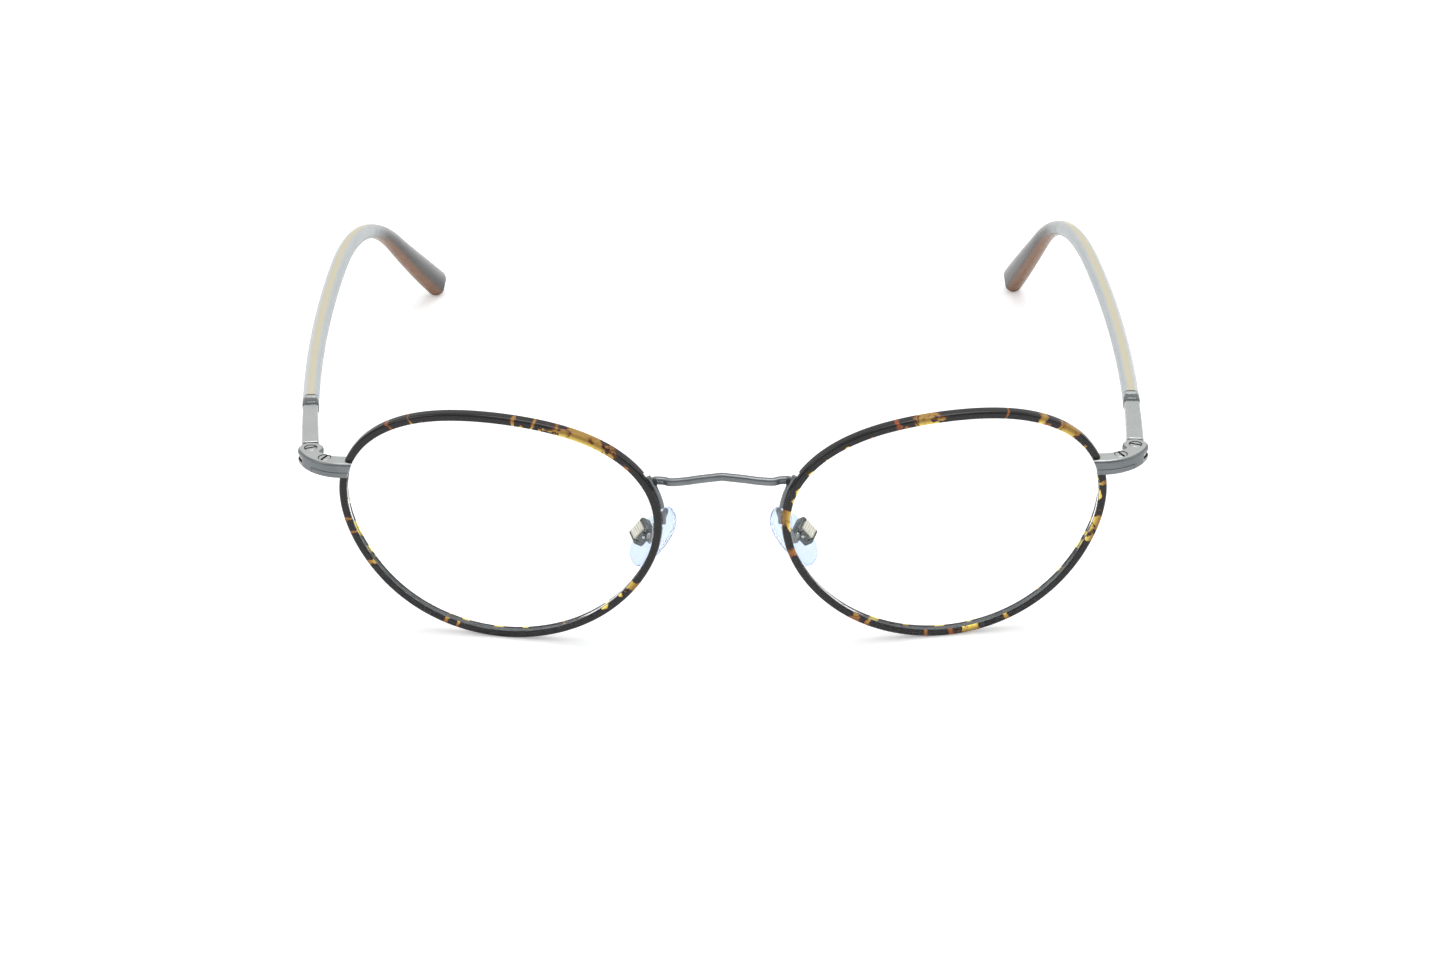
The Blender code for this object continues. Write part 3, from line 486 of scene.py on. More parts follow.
def new_group(name, inputs, outputs):
    group = bpy.data.node_groups.new(name, "ShaderNodeTree")
    for label, kind, value in inputs:
        socket = group.interface.new_socket(name=label, in_out="INPUT", socket_type=kind)
        socket.default_value = value
    for label, kind in outputs:
        group.interface.new_socket(name=label, in_out="OUTPUT", socket_type=kind)
    given = group.nodes.new("NodeGroupInput").outputs
    return group, given, group.nodes.new("NodeGroupOutput").inputs


def place_group(tree, group, **values):
    made = tree.nodes.new("ShaderNodeGroup")
    made.node_tree = group
    for name, value in values.items():
        socket = made.inputs[name.replace("_", " ")]
        if isinstance(value, bpy.types.NodeSocket):
            tree.links.new(value, socket)
        elif isinstance(value, tuple) and len(value) == 3 and socket.type == "RGBA":
            socket.default_value = (*value, 1.0)
        else:
            socket.default_value = value
    return made.outputs


def satin_wear_group():
    """Plated metal: a drifting tone, fine satin lines and small handling marks."""
    group, given, out = new_group(
        "satin_wear",
        [("Tone", "NodeSocketColor", (0.5, 0.5, 0.5, 1)),
         ("Dark Tone", "NodeSocketColor", (0.3, 0.3, 0.3, 1)),
         ("Roughness", "NodeSocketFloat", 0.35), ("Bump", "NodeSocketFloat", 0.2)],
        [("Color", "NodeSocketColor"), ("Roughness", "NodeSocketFloat"),
         ("Normal", "NodeSocketVector")])
    drift = object_noise(group, 260.0, 3.0)
    lines = object_noise(group, 1.0, 1.0, (4200.0, 900.0, 4200.0))
    specks = object_noise(group, 4200.0, 2.0)
    drift_mask = smooth_mask(group, drift, 0.38, 0.66)
    speck_mask = smooth_mask(group, specks, 0.62, 0.74)
    toned = blend_colours(group, times(group, drift_mask, 0.3), given["Tone"], given["Dark Tone"])
    marked = blend_colours(group, times(group, speck_mask, 0.16), toned, given["Dark Tone"])
    group.links.new(marked, out["Color"])
    spread = maths(group, "MULTIPLY_ADD", lines, 0.12, -0.06)
    rough = maths(group, "ADD", given["Roughness"], spread)
    group.links.new(maths(group, "MULTIPLY_ADD", speck_mask, 0.1, rough), out["Roughness"])
    height = maths(group, "ADD", lines, times(group, specks, 0.2))
    bump = add_node(group, "ShaderNodeBump",
                    {"Height": height, "Strength": given["Bump"], "Distance": 0.00002})
    group.links.new(bump.outputs["Normal"], out["Normal"])
    return group


def polish_group():
    """Plastic with a hand polish: broad ripples, hairlines and a little dust."""
    group, given, out = new_group(
        "hand_polish",
        [("Roughness", "NodeSocketFloat", 0.1), ("Ripple", "NodeSocketFloat", 0.1),
         ("Dust", "NodeSocketFloat", 0.3)],
        [("Roughness", "NodeSocketFloat"), ("Normal", "NodeSocketVector"),
         ("Dust Mask", "NodeSocketFloat")])
    ripple = object_noise(group, 420.0, 2.0)
    hairs = object_noise(group, 1.0, 2.0, (1400.0, 9000.0, 9000.0), distortion=0.6)
    dust = object_noise(group, 7000.0, 1.0)
    dust_mask = times(group, smooth_mask(group, dust, 0.7, 0.78), given["Dust"])
    rough = maths(group, "MULTIPLY_ADD", hairs, 0.08, given["Roughness"])
    group.links.new(maths(group, "MULTIPLY_ADD", dust_mask, 0.25, rough), out["Roughness"])
    bump = add_node(group, "ShaderNodeBump",
                    {"Height": ripple, "Strength": given["Ripple"], "Distance": 0.00012})
    group.links.new(bump.outputs["Normal"], out["Normal"])
    group.links.new(dust_mask, out["Dust Mask"])
    return group


SATIN_WEAR = satin_wear_group()
HAND_POLISH = polish_group()


def plated_metal(name, tone, dark_tone, roughness, bump=0.18):
    material, tree, shader = new_material(name, Metallic=1.0)
    made = place_group(tree, SATIN_WEAR, Tone=tone, Dark_Tone=dark_tone, Roughness=roughness,
                       Bump=bump)
    feed(tree, shader, Base_Color=made["Color"], Roughness=made["Roughness"], Normal=made["Normal"])
    return material


# ---------------------------------------------------------------- finishes

def acetate_material():
    """Dark tortoise acetate; the mesh says where amber lies and how warm it is, and where amber at
    the inner edge gets a painted glow.
    """
    material, tree, shader = new_material("tortoise_acetate", Specular_IOR_Level=0.5, IOR=1.5)
    polish = place_group(tree, HAND_POLISH, Roughness=0.06, Ripple=0.08, Dust=0.2)
    amber = mesh_value(tree, "amber")
    warmth = mesh_value(tree, "warmth")
    swirl = object_noise(tree, 850.0, 2.0, distortion=0.9)
    grain = object_noise(tree, 3600.0, 3.0)
    ragged = maths(tree, "MULTIPLY_ADD", swirl, 2.0, maths(tree, "ADD", amber, -1.16))
    ragged = maths(tree, "MULTIPLY_ADD", grain, 0.12, maths(tree, "ADD", ragged, -0.06))
    mask = smooth_mask(tree, ragged, -0.05, 0.75)
    deep = blend_colours(tree, swirl, (0.007, 0.007, 0.008), (0.022, 0.020, 0.021))
    ramp = blend_colours(tree, smooth_mask(tree, mask, 0.0, 0.35), deep, (0.095, 0.024, 0.008))
    gold = blend_colours(tree, smooth_mask(tree, mask, 0.25, 0.6), ramp, (0.34, 0.145, 0.018))
    gold = blend_colours(tree, smooth_mask(tree, mask, 0.5, 0.95), gold, (0.44, 0.27, 0.045))
    thin = mesh_value(tree, "thin")
    cool = maths(tree, "SUBTRACT", 1.0, warmth)
    # Painted glow: amber near the inner edge is lightened towards yellow and emits a little,
    # standing in for light through the thin acetate
    painted_glow_mask = times(tree, times(tree, thin, cool), smooth_mask(tree, mask, 0.3, 0.75))
    gold = blend_colours(tree, painted_glow_mask, gold, (0.96, 0.78, 0.18))
    painted_glow = blend_colours(tree, painted_glow_mask, (0.0, 0.0, 0.0), (0.55, 0.40, 0.05))
    flame = blend_colours(tree, smooth_mask(tree, mask, 0.25, 0.8), ramp, (0.34, 0.075, 0.016))
    tone = blend_colours(tree, warmth, gold, flame)
    dusty = blend_colours(tree, times(tree, polish["Dust Mask"], 0.4), tone, (0.30, 0.30, 0.30))
    feed(tree, shader, Base_Color=dusty, Roughness=polish["Roughness"], Normal=polish["Normal"],
         Emission_Color=painted_glow)
    # Emission here only carries the painted glow; the acetate is no lamp
    shader.inputs["Emission Strength"].default_value = 1.0
    return material


def clear_material(name, tint, index, roughness, edge_tint, edge_power, ripple, dust, coat):
    """Clear plastic that lets light through to what lies below it."""
    material, tree, shader = new_material(name, IOR=index, Transmission_Weight=1.0,
                                          Coat_Weight=coat)
    output = tree.nodes["Material Output"]
    polish = place_group(tree, HAND_POLISH, Roughness=roughness, Ripple=ripple, Dust=dust)
    rim = add_node(tree, "ShaderNodeLayerWeight", {"Blend": edge_power}).outputs["Facing"]
    clearer = maths(tree, "ADD", polish["Roughness"], -0.04, clamp=True)
    feed(tree, shader, Base_Color=blend_colours(tree, rim, tint, edge_tint), Roughness=clearer,
         Normal=polish["Normal"])
    path = add_node(tree, "ShaderNodeLightPath")
    see_through = add_node(tree, "ShaderNodeBsdfTransparent", {"Color": (0.94, 0.95, 0.96, 1)})
    mixed = tree.nodes.new("ShaderNodeMixShader")
    tree.links.new(path.outputs["Is Shadow Ray"], mixed.inputs[0])
    tree.links.new(shader.outputs[0], mixed.inputs[1])
    tree.links.new(see_through.outputs[0], mixed.inputs[2])
    tree.links.new(mixed.outputs[0], output.inputs["Surface"])
    return material


def ivory_material():
    material, tree, shader = new_material("ivory_plastic")
    speckle = object_noise(tree, 3600.0, 3.0)
    drift = object_noise(tree, 600.0, 2.0)
    tone = blend_colours(tree, speckle, (0.76, 0.75, 0.66), (0.86, 0.85, 0.78))
    tone = blend_colours(tree, times(tree, drift, 0.4), tone, (0.80, 0.77, 0.66))
    rough = maths(tree, "MULTIPLY_ADD", speckle, 0.2, 0.35)
    bump = add_node(tree, "ShaderNodeBump",
                    {"Height": speckle, "Strength": 0.2, "Distance": 0.00003})
    feed(tree, shader, Base_Color=tone, Roughness=rough, Normal=bump.outputs["Normal"])
    return material


def sleeve_material():
    """Milky clear plastic that turns to smoky brown towards the tip, with painted glow and painted
    reflections on it.
    """
    material, tree, shader = new_material("grey_sleeve", IOR=1.46, Specular_IOR_Level=0.4)
    polish = place_group(tree, HAND_POLISH, Roughness=0.18, Ripple=0.08, Dust=0.2)
    along = mesh_value(tree, "along")
    height = mesh_value(tree, "rise")
    outward = mesh_value(tree, "outward")
    cloud = object_noise(tree, 220.0, 3.0)
    wander = maths(tree, "MULTIPLY_ADD", cloud, 10.0, maths(tree, "ADD", along, -5.0))
    tip = smooth_mask(tree, wander, SMOKE_FROM, SMOKE_TO)
    streaks = object_noise(tree, 900.0, 2.0, (1.0, 0.3, 1.0))
    milky = blend_colours(tree, streaks, (0.50, 0.54, 0.56), (0.60, 0.64, 0.65))
    # The outer side is blended lighter: a painted sheen
    milky = blend_colours(tree, smooth_mask(tree, outward, 0.2, 0.9), milky, (0.72, 0.75, 0.76))
    # A gold stripe along the top and on the outer side is painted glow: the gilt core is really
    # inside, but its look through the milky plastic is painted onto the surface
    from_middle = maths(tree, "ABSOLUTE", outward)
    near_middle = smooth_mask(tree, times(tree, from_middle, -1.0), -0.66, -0.08)
    over = times(tree, smooth_mask(tree, height, 0.6, 0.9), near_middle)
    halfway_up = smooth_mask(tree, times(tree, maths(tree, "ABSOLUTE", height), -1.0), -0.5, -0.2)
    beside = times(tree, smooth_mask(tree, from_middle, 0.6, 0.78), halfway_up)
    beside = times(tree, beside, times(tree, smooth_mask(tree, outward, 0.0, 0.5), 0.3))
    painted_glow = times(tree, maths(tree, "MAXIMUM", over, beside), 0.8)
    milky = blend_colours(tree, painted_glow, milky, (0.70, 0.62, 0.39))
    smoke = blend_colours(tree, streaks, (0.045, 0.042, 0.043), (0.085, 0.080, 0.080))
    brown = blend_colours(tree, streaks, (0.22, 0.095, 0.042), (0.33, 0.17, 0.085))
    below = smooth_mask(tree, times(tree, height, -1.0), 0.35, 0.95)
    tip_tone = blend_colours(tree, below, smoke, brown)
    # The tip's upper part is lightened towards grey: a painted reflection
    pale = times(tree, smooth_mask(tree, height, -0.25, 0.75), 0.85)
    tip_tone = blend_colours(tree, pale, tip_tone, (0.38, 0.38, 0.38))
    tone = blend_colours(tree, tip, milky, tip_tone)
    feed(tree, shader, Base_Color=tone, Roughness=polish["Roughness"], Normal=polish["Normal"])
    return material


def lit_top_metal():
    """Satin grey plate with a lighter copy of its finish on the upward faces, a painted reflection
    of the bright space above.
    """
    material, tree, shader = new_material("satin_grey", Metallic=1.0)
    lit_top = mesh_value(tree, "lit_top")
    satin = place_group(tree, SATIN_WEAR, Tone=(0.26, 0.28, 0.29), Dark_Tone=(0.17, 0.19, 0.20),
                        Roughness=0.34, Bump=0.08)
    # The lighter copy for the upward faces is a painted reflection, not a different finish
    bright = place_group(tree, SATIN_WEAR, Tone=(0.66, 0.69, 0.67), Dark_Tone=(0.52, 0.55, 0.54),
                         Roughness=0.28, Bump=0.05)
    tone = blend_colours(tree, lit_top, satin["Color"], bright["Color"])
    feed(tree, shader, Base_Color=tone, Roughness=satin["Roughness"], Normal=satin["Normal"])
    return material


def banded_metal_material():
    """Bright plate with a dark fired band beside the bar, and a painted shade at the seam against
    the sleeve.
    """
    material, tree, shader = new_material("banded_steel", Metallic=1.0)
    band = mesh_value(tree, "band")
    dark = place_group(tree, SATIN_WEAR, Tone=(0.21, 0.225, 0.23), Dark_Tone=(0.14, 0.15, 0.155),
                       Roughness=0.34, Bump=0.15)
    light = place_group(tree, SATIN_WEAR, Tone=(0.66, 0.69, 0.69), Dark_Tone=(0.48, 0.50, 0.50),
                        Roughness=0.27, Bump=0.12)
    tone = blend_colours(tree, smooth_mask(tree, band, 0.0, 1.0), light["Color"], dark["Color"])
    # Band 2, the seam against the sleeve, is painted near black: a painted shade in the gap
    seam = smooth_mask(tree, band, 1.2, 1.8)
    tone = blend_colours(tree, seam, tone, (0.012, 0.012, 0.012))
    feed(tree, shader, Base_Color=tone, Roughness=light["Roughness"], Normal=light["Normal"])
    return material


GUNMETAL = plated_metal("gunmetal", (0.25, 0.27, 0.28), (0.15, 0.16, 0.17), 0.30, 0.08)
DARK_METAL = plated_metal("dark_gunmetal", (0.13, 0.15, 0.15), (0.07, 0.08, 0.08), 0.27, 0.08)
SATIN_GREY = lit_top_metal()
BRIGHT_STEEL = plated_metal("bright_steel", (0.66, 0.69, 0.68), (0.56, 0.59, 0.58), 0.27, 0.02)
SHADOW_STEEL = plated_metal("slot_shadow", (0.035, 0.036, 0.038), (0.02, 0.02, 0.02), 0.5)
SOLDER = plated_metal("dark_solder", (0.06, 0.06, 0.065), (0.03, 0.03, 0.03), 0.42, 0.3)
GILT = plated_metal("gilt_core", (0.86, 0.74, 0.46), (0.66, 0.52, 0.28), 0.3)
ACETATE = acetate_material()
# The low index makes the lens a thin pane, so that its edge doesn't hide the rim behind it
LENS_CLEAR = clear_material("clear_lens", tint=(0.99, 0.993, 0.993), index=1.05, roughness=0.04,
                            edge_tint=(0.92, 0.95, 0.96), edge_power=0.2, ripple=0.0, dust=0.1,
                            coat=0.5)
SILICONE = clear_material("clear_silicone", tint=(0.84, 0.90, 0.985), index=1.14, roughness=0.0,
                          edge_tint=(0.20, 0.40, 0.86), edge_power=0.55, ripple=0.03, dust=0.05,
                          coat=0.6)
IVORY = ivory_material()
SLEEVE_GREY = sleeve_material()
BANDED_STEEL = banded_metal_material()


# ---------------------------------------------------------------- rims and lenses

# Tortoise pattern: outline angle, half its length in degrees, warmth and where it shows
PATTERN = {
    "left": [
        (50.5, 0.8, 0.9, "all"), (59.0, 0.5, 0.5, "all"), (63.0, 0.5, 0.9, "inner"),
        (97.6, 1.0, 0.35, "all"), (101.0, 0.8, 0.5, "inner"), (105.0, 0.7, 0.3, "all"),
        (108.0, 0.7, 0.5, "inner"), (122.5, 12.5, 0.1, "all"), (136.0, 2.2, 0.6, "inner"),
        (144.5, 2.0, 0.95, "inner"), (210.0, 3.4, 0.35, "all"), (217.0, 1.6, 0.0, "inner"),
        (226.0, 2.0, 0.0, "inner"), (247.0, 1.0, 0.6, "rear"), (262.0, 1.6, 0.0, "rear"),
        (272.4, 2.6, 0.0, "rear"), (285.0, 3.0, 0.0, "rear"), (286.6, 0.7, 0.5, "all"),
        (291.0, 0.9, 0.6, "all"), (331.0, 1.6, 0.45, "all"), (336.0, 2.2, 0.0, "rear"),
        (347.0, 6.0, 0.0, "rear"), (348.0, 0.8, 0.7, "all"), (355.0, 0.9, 0.7, "all"),
        (362.0, 1.4, 0.4, "rear"), (379.0, 1.4, 0.7, "all"),
    ],
    "right": [
        (98.6, 6.0, 0.05, "all"), (106.5, 1.6, 1.0, "inner"), (109.0, 1.0, 1.0, "all"),
        (119.6, 0.9, 0.8, "inner"), (129.7, 1.6, 0.0, "inner"), (139.0, 0.8, 0.5, "inner"),
        (148.0, 2.4, 0.0, "inner"), (156.6, 3.0, 0.0, "inner"), (163.0, 2.0, 0.1, "inner"),
        (170.3, 3.8, 0.3, "all"), (176.0, 4.0, 0.0, "inner"), (189.7, 2.4, 0.75, "all"),
        (234.0, 2.6, 0.7, "all"), (240.0, 1.4, 0.5, "all"), (243.0, 3.6, 0.0, "rear"),
        (256.0, 1.2, 0.5, "rear"), (268.0, 3.0, 0.0, "rear"), (68.9, 0.5, 0.8, "all"),
        (55.5, 1.8, 0.05, "all"), (52.0, 1.2, 0.9, "inner"), (43.5, 5.6, 0.2, "all"),
        (33.0, 1.2, 0.6, "inner"), (372.0, 1.2, 0.35, "all"), (366.0, 3.4, 0.0, "inner"),
        (351.4, 5.6, 0.25, "all"), (343.0, 2.6, 0.05, "all"), (337.0, 2.6, 0.0, "rear"),
        (322.0, 2.0, 0.0, "rear"), (309.0, 1.0, 0.6, "rear"), (293.0, 1.2, 0.4, "all"),
        (279.0, 4.0, 0.05, "all"), (272.0, 1.2, 0.9, "all"), (263.0, 1.0, 0.8, "all"),
    ],
}


def lens_plane_place(point, side):
    """Inverse of from_lens_plane, without the sag: across, up and depth."""
    upright = Matrix.Rotation(radians(-FRONT_TILT), 3, "X")
    flat = upright @ (point - Vector((0, 0, LENS_CENTRE_HEIGHT)))
    turn = radians(FACE_FORM)
    x = side * flat.x - LENS_SPACING / 2
    return x * cos(turn) + flat.y * sin(turn), flat.z, flat.y * cos(turn) - x * sin(turn)


def outline_angle_at(height, reach, depth):
    """Outline angle, in degrees, where that line of the rim passes a height on the temple side."""
    low, high = 0.0, 60.0
    for _ in range(30):
        middle = (low + high) / 2
        if rim_point(radians(middle), reach, depth, 1).z < height:
            low = middle
        else:
            high = middle
    return low


def cover_section(inset=0.0):
    """Acetate channel that opens towards the lens, as (reach, depth) pairs."""
    half = RIM_DEPTH / 2
    cavity = EYEWIRE_DEPTH / 2 + FIT
    floor = RIM_OVER_LENS - COVER_WALL
    lip = arc((-RIM_LIP + LIP_ROUNDING, half - LIP_ROUNDING), LIP_ROUNDING, 180, 90, 4)
    shoulder = arc((RIM_OVER_LENS - RIM_ROUNDING, half - RIM_ROUNDING), RIM_ROUNDING, 90, 0, 8)
    side = [(-RIM_LIP, cavity)] + lip + shoulder
    front = [(reach, -depth) for reach, depth in side]
    outline = front + [(RIM_OVER_LENS, 0.0)] + side[::-1] + [(floor, cavity), (floor, -cavity)]
    edge = half - inset
    return [(min(max(reach, inset - RIM_LIP), RIM_OVER_LENS - inset), min(max(depth, -edge), edge))
            for reach, depth in outline]


def rim_cover_mesh(label, side):
    steps = 3 * OUTLINE_STEPS
    eased = [(0.0, 0.17), (0.0003, 0.09), (0.0007, 0.035), (0.0014, 0.0)]
    marks = eased + [(i / steps, 0.0) for i in range(2, steps - 1)]
    marks += [(1 - share, inset) for share, inset in eased[::-1]]
    plain = cover_section()
    spans = [(outline_angle_at(END_TOP + FIT, reach, depth),
              360 + outline_angle_at(END_BOTTOM - FIT, reach, depth)) for reach, depth in plain]
    rings = []
    for share, inset in marks:
        ring = []
        for (start, stop), (reach, depth) in zip(spans, cover_section(inset)):
            ring.append(rim_point(radians(start + share * (stop - start)), reach, depth, side))
        rings.append(ring)
    return lofted("rim_" + label, rings)


def paint_tortoise(item, label, side):
    mesh = item.data
    amber = mesh.attributes.new("amber", "FLOAT", "POINT")
    warmth = mesh.attributes.new("warmth", "FLOAT", "POINT")
    thin = mesh.attributes.new("thin", "FLOAT", "POINT")
    for vertex in mesh.vertices:
        u, v, depth = lens_plane_place(vertex.co / MM - FRAME_OFFSET, side)
        angle = atan2(v / LENS_HEIGHT, u / LENS_WIDTH) * 180 / pi % 360
        if angle < 23:
            angle += 360
        edge_u, edge_v = lens_edge(radians(angle))
        reach = hypot(u, v) - hypot(edge_u, edge_v)
        behind = depth - sag(u, v)
        best, heat = -1.0, 0.5
        for centre, half_width, kind, where in PATTERN[label]:
            near = 1 - abs(angle - centre) / half_width * 0.75
            if where == "rear":
                near -= max(0.0, 0.35 - behind) * 2
            elif where == "inner":
                near -= max(0.0, reach + 0.05) * 2
            else:
                near -= max(0.0, behind - 0.2) * 0.8
            if near > best:
                best, heat = near, kind
        amber.data[vertex.index].value = best
        warmth.data[vertex.index].value = heat
        # thin is highest at the inner edge; it marks where the acetate material paints its glow,
        # standing in for light through the thin acetate
        thin.data[vertex.index].value = min(max(0.1 - reach * 2.6, 0.0), 1.0)


def make_rim(label, side):
    rim = rim_cover_mesh(label, side)
    floor = RIM_OVER_LENS - COVER_WALL - FIT / 2
    outside = RIM_OVER_LENS * 2
    section = [(floor, -FIT), (floor, RIM_DEPTH), (outside, RIM_DEPTH), (outside, -FIT)]
    angles = angles_between(FOOT_START - NOTCH_MARGIN, ARM_END + NOTCH_MARGIN, 40)
    carve(rim, [mesh_object("foot_notch", *rim_sweep(section, side, angles, False))])
    paint_tortoise(rim, label, side)
    finish_piece(rim, ACETATE, "front", "tortoise_acetate", "rim_cover_" + label)


def make_eyewire(label, side):
    half = EYEWIRE_DEPTH / 2
    outer = RIM_OVER_LENS - COVER_WALL - FIT
    lip = GROOVE_WIDTH / 2
    ease = 0.03
    section = [(-EYEWIRE_LIP, -lip), (-EYEWIRE_LIP, -half + ease), (-EYEWIRE_LIP + ease, -half),
               (outer, -half), (outer, half), (-EYEWIRE_LIP + ease, half),
               (-EYEWIRE_LIP, half - ease), (-EYEWIRE_LIP, lip), (GROOVE_FLOOR, 0.0)]
    slit = outline_angle_at(END_SPLIT, 0.0, 0.0)
    half_slit = EYEWIRE_SLIT / LENS_WIDTH * 180 / pi
    angles = angles_between(slit + half_slit, slit + 360 - half_slit, OUTLINE_STEPS * 2)
    wire = mesh_object("eyewire_" + label + "_fine", *rim_sweep(section, side, angles, False))
    finish_piece(wire, GUNMETAL, "front", "gunmetal", "eyewire_" + label)


def make_lens(label, side):
    angles = angles_around(OUTLINE_STEPS)
    half = LENS_THICKNESS / 2
    land = -LENS_BEVEL_HEIGHT

    def surface_ring(share, depth):
        ring = []
        for angle in angles:
            u, v = lens_edge(angle)
            normal_u, normal_v = lens_edge_normal(angle)
            u = (u + land * normal_u) * share
            v = (v + land * normal_v) * share
            ring.append(from_lens_plane(u, v, sag(u, v) + depth, side))
        return ring

    shares = [0.04 + 0.08 * i for i in range(12)] + [0.985]
    rings = [surface_ring(share, -half) for share in shares + [1.0]]
    rings.append([rim_point(a, land, -LENS_BEVEL_WIDTH / 2, side) for a in angles])
    rings.append([rim_point(a, 0.0, 0.0, side) for a in angles])
    rings.append([rim_point(a, land, LENS_BEVEL_WIDTH / 2, side) for a in angles])
    rings += [surface_ring(share, half) for share in ([1.0] + shares[::-1])]
    lens = lofted("lens_" + label + "_fine", rings)
    finish_piece(lens, LENS_CLEAR, "front", "clear_lens", "lens_" + label)


# ---------------------------------------------------------------- end pieces and hinges

def end_centreline(steps=2):
    hinge = Vector((HINGE_HALF_SPAN, HINGE_SETBACK, 0))
    marks = [hinge + Vector(offset) for offset in
             ((-8.3, -4.35, 0), (-4.85, -4.3, 0), (-2.55, -3.45, 0), (-0.85, -1.85, 0), (0, 0, 0))]
    return smooth_curve(marks, steps)


def end_outline(inset, side, stop=None, steps=8):
    line = end_centreline(steps)
    front_widths = (1.6, 1.6, 1.65, 1.8, BARREL_RADIUS)
    rear_widths = (1.55, 1.5, 1.3, 1.05, 1.0)
    front = []
    rear = []
    for i, (here, across, _) in enumerate(path_frames(line, UP)):
        if stop is not None and i > stop * steps / 2:
            break
        share = i / steps
        low = min(int(share), len(front_widths) - 2)
        blend = share - low
        ahead_width = front_widths[low] + (front_widths[low + 1] - front_widths[low]) * blend
        back_width = rear_widths[low] + (rear_widths[low + 1] - rear_widths[low]) * blend
        front.append(here + across * (ahead_width - inset))
        rear.append(here - across * (back_width - inset))
    outline = front
    if stop is None:
        hinge = line[-1]
        radius = BARREL_RADIUS - inset
        rear = rear[:-steps + 1]
        outline = front[:-1]
        for step in range(33):
            angle = radians(-10 + step * 6.25)
            outline.append(hinge + Vector((radius * cos(angle), radius * sin(angle), 0)))
    outline = outline + rear[::-1]
    return [Vector((side * p.x, p.y, 0)) for p in outline]


def rounded_prism(name, outline_at, levels):
    return lofted(name, [[p + Vector((0, 0, height)) for p in outline_at(inset)]
                         for height, inset in levels])


def eased_levels(low, high, ease_top):
    """Heights and insets of a prism's outlines, with a rounded bottom edge and maybe top edge."""
    corner = END_ROUNDING
    turns = [radians(90 * i / 5) for i in range(6)]
    levels = [(low + corner * (1 - cos(t)), corner * (1 - sin(t))) for t in turns]
    if not ease_top:
        return levels + [(high, 0.0)]
    return levels + [(high - corner * (1 - cos(t)), corner * (1 - sin(t))) for t in turns[::-1]]


def hinge_point(side):
    return Vector((side * HINGE_HALF_SPAN, HINGE_SETBACK, 0))


def closing_point(side):
    mark = end_centreline()[4]
    return Vector((side * mark.x, mark.y, 0))


def turned(name, centre, profile, count=64):
    """A piece turned on an upright axis; the profile gives radius and height."""
    rings = []
    for radius, z in profile:
        circle = oval(2 * radius, 2 * radius, count)
        rings.append([Vector((centre.x + x, centre.y + y, z)) for x, y in circle])
    return lofted(name, rings)


def upright_cylinder(name, centre, radius, low, high, count):
    return turned(name, centre, [(radius, low), (radius, high)], count)


def screw_hole(name, centre, top, tip):
    head = SCREW_HEAD_RADIUS + HEAD_GAP
    shank = SCREW_SHANK_RADIUS + FIT
    return turned(name, centre, [(head, top + 1), (head, top - SCREW_HEAD_DEPTH / 2),
                                 (shank, top - SCREW_HEAD_DEPTH), (shank, tip - FIT)])


def make_screw(node, centre, slot_angle):
    top = END_TOP
    tip = END_BOTTOM + SCREW_TIP_RISE
    radius = SCREW_HEAD_RADIUS
    screw = turned(node + "_fine", centre, [
        (radius - 0.32, top), (radius - 0.12, top - 0.02), (radius - 0.03, top - 0.06),
        (radius, top - 0.12), (radius, top - SCREW_HEAD_DEPTH / 2),
        (SCREW_SHANK_RADIUS, top - SCREW_HEAD_DEPTH), (SCREW_SHANK_RADIUS, tip + 0.08),
        (SCREW_SHANK_RADIUS - 0.1, tip)])
    turn = Matrix.Rotation(radians(slot_angle), 3, "Z")
    reach = radius * 1.5
    half_slot = SLOT_WIDTH / 2
    rings = []
    for z in (top - SLOT_DEPTH, top + SLOT_DEPTH):
        corners = [(-reach, -half_slot), (reach, -half_slot),
                   (reach, half_slot), (-reach, half_slot)]
        rings.append([centre + turn @ Vector((x, y, 0)) + Vector((0, 0, z)) for x, y in corners])
    carve(screw, [lofted("slot", rings)])
    finish_piece(screw, BRIGHT_STEEL, "front", "bright_steel", node)
    shade_recess(screw, SHADOW_STEEL, lambda p: (
        top - SLOT_DEPTH - 0.02 < p.z < top - 0.03
        and abs((turn.inverted() @ (p - centre)).y) < half_slot + 0.02))


def swept_room(name, section, side):
    angles = angles_around(OUTLINE_STEPS)
    return mesh_object(name, *rim_sweep(section, side, angles, True))


def eyewire_room(side):
    outer = RIM_OVER_LENS - COVER_WALL
    half = EYEWIRE_DEPTH / 2 + FIT
    section = [(-RIM_LIP - FIT, -half), (outer, -half), (outer, half), (-RIM_LIP - FIT, half)]
    return swept_room("eyewire_room", section, side)


def lens_opening(side):
    ring = angles_around(OUTLINE_STEPS)
    rings = [[rim_point(a, -RIM_LIP, depth, side) for a in ring] for depth in (-6.0, 6.0)]
    return lofted("lens_opening", rings)


def block_room(side, stop):
    frames = path_frames(end_centreline(), UP)
    reach = 4.0
    first, across, _ = frames[0]
    last, last_across, _ = frames[stop]
    first = first - Vector((reach, 0, 0))
    stop_gap = (frames[stop + 1][0] - last).normalized() * SPLIT_GAP
    corners = [first + across * reach, last + stop_gap + last_across * reach,
               last + stop_gap - last_across * reach, first - across * reach]
    levels = (END_BOTTOM - 1, END_SPLIT + SPLIT_GAP / 2)
    return lofted("block_room", [[Vector((side * p.x, p.y, z)) for p in corners] for z in levels])


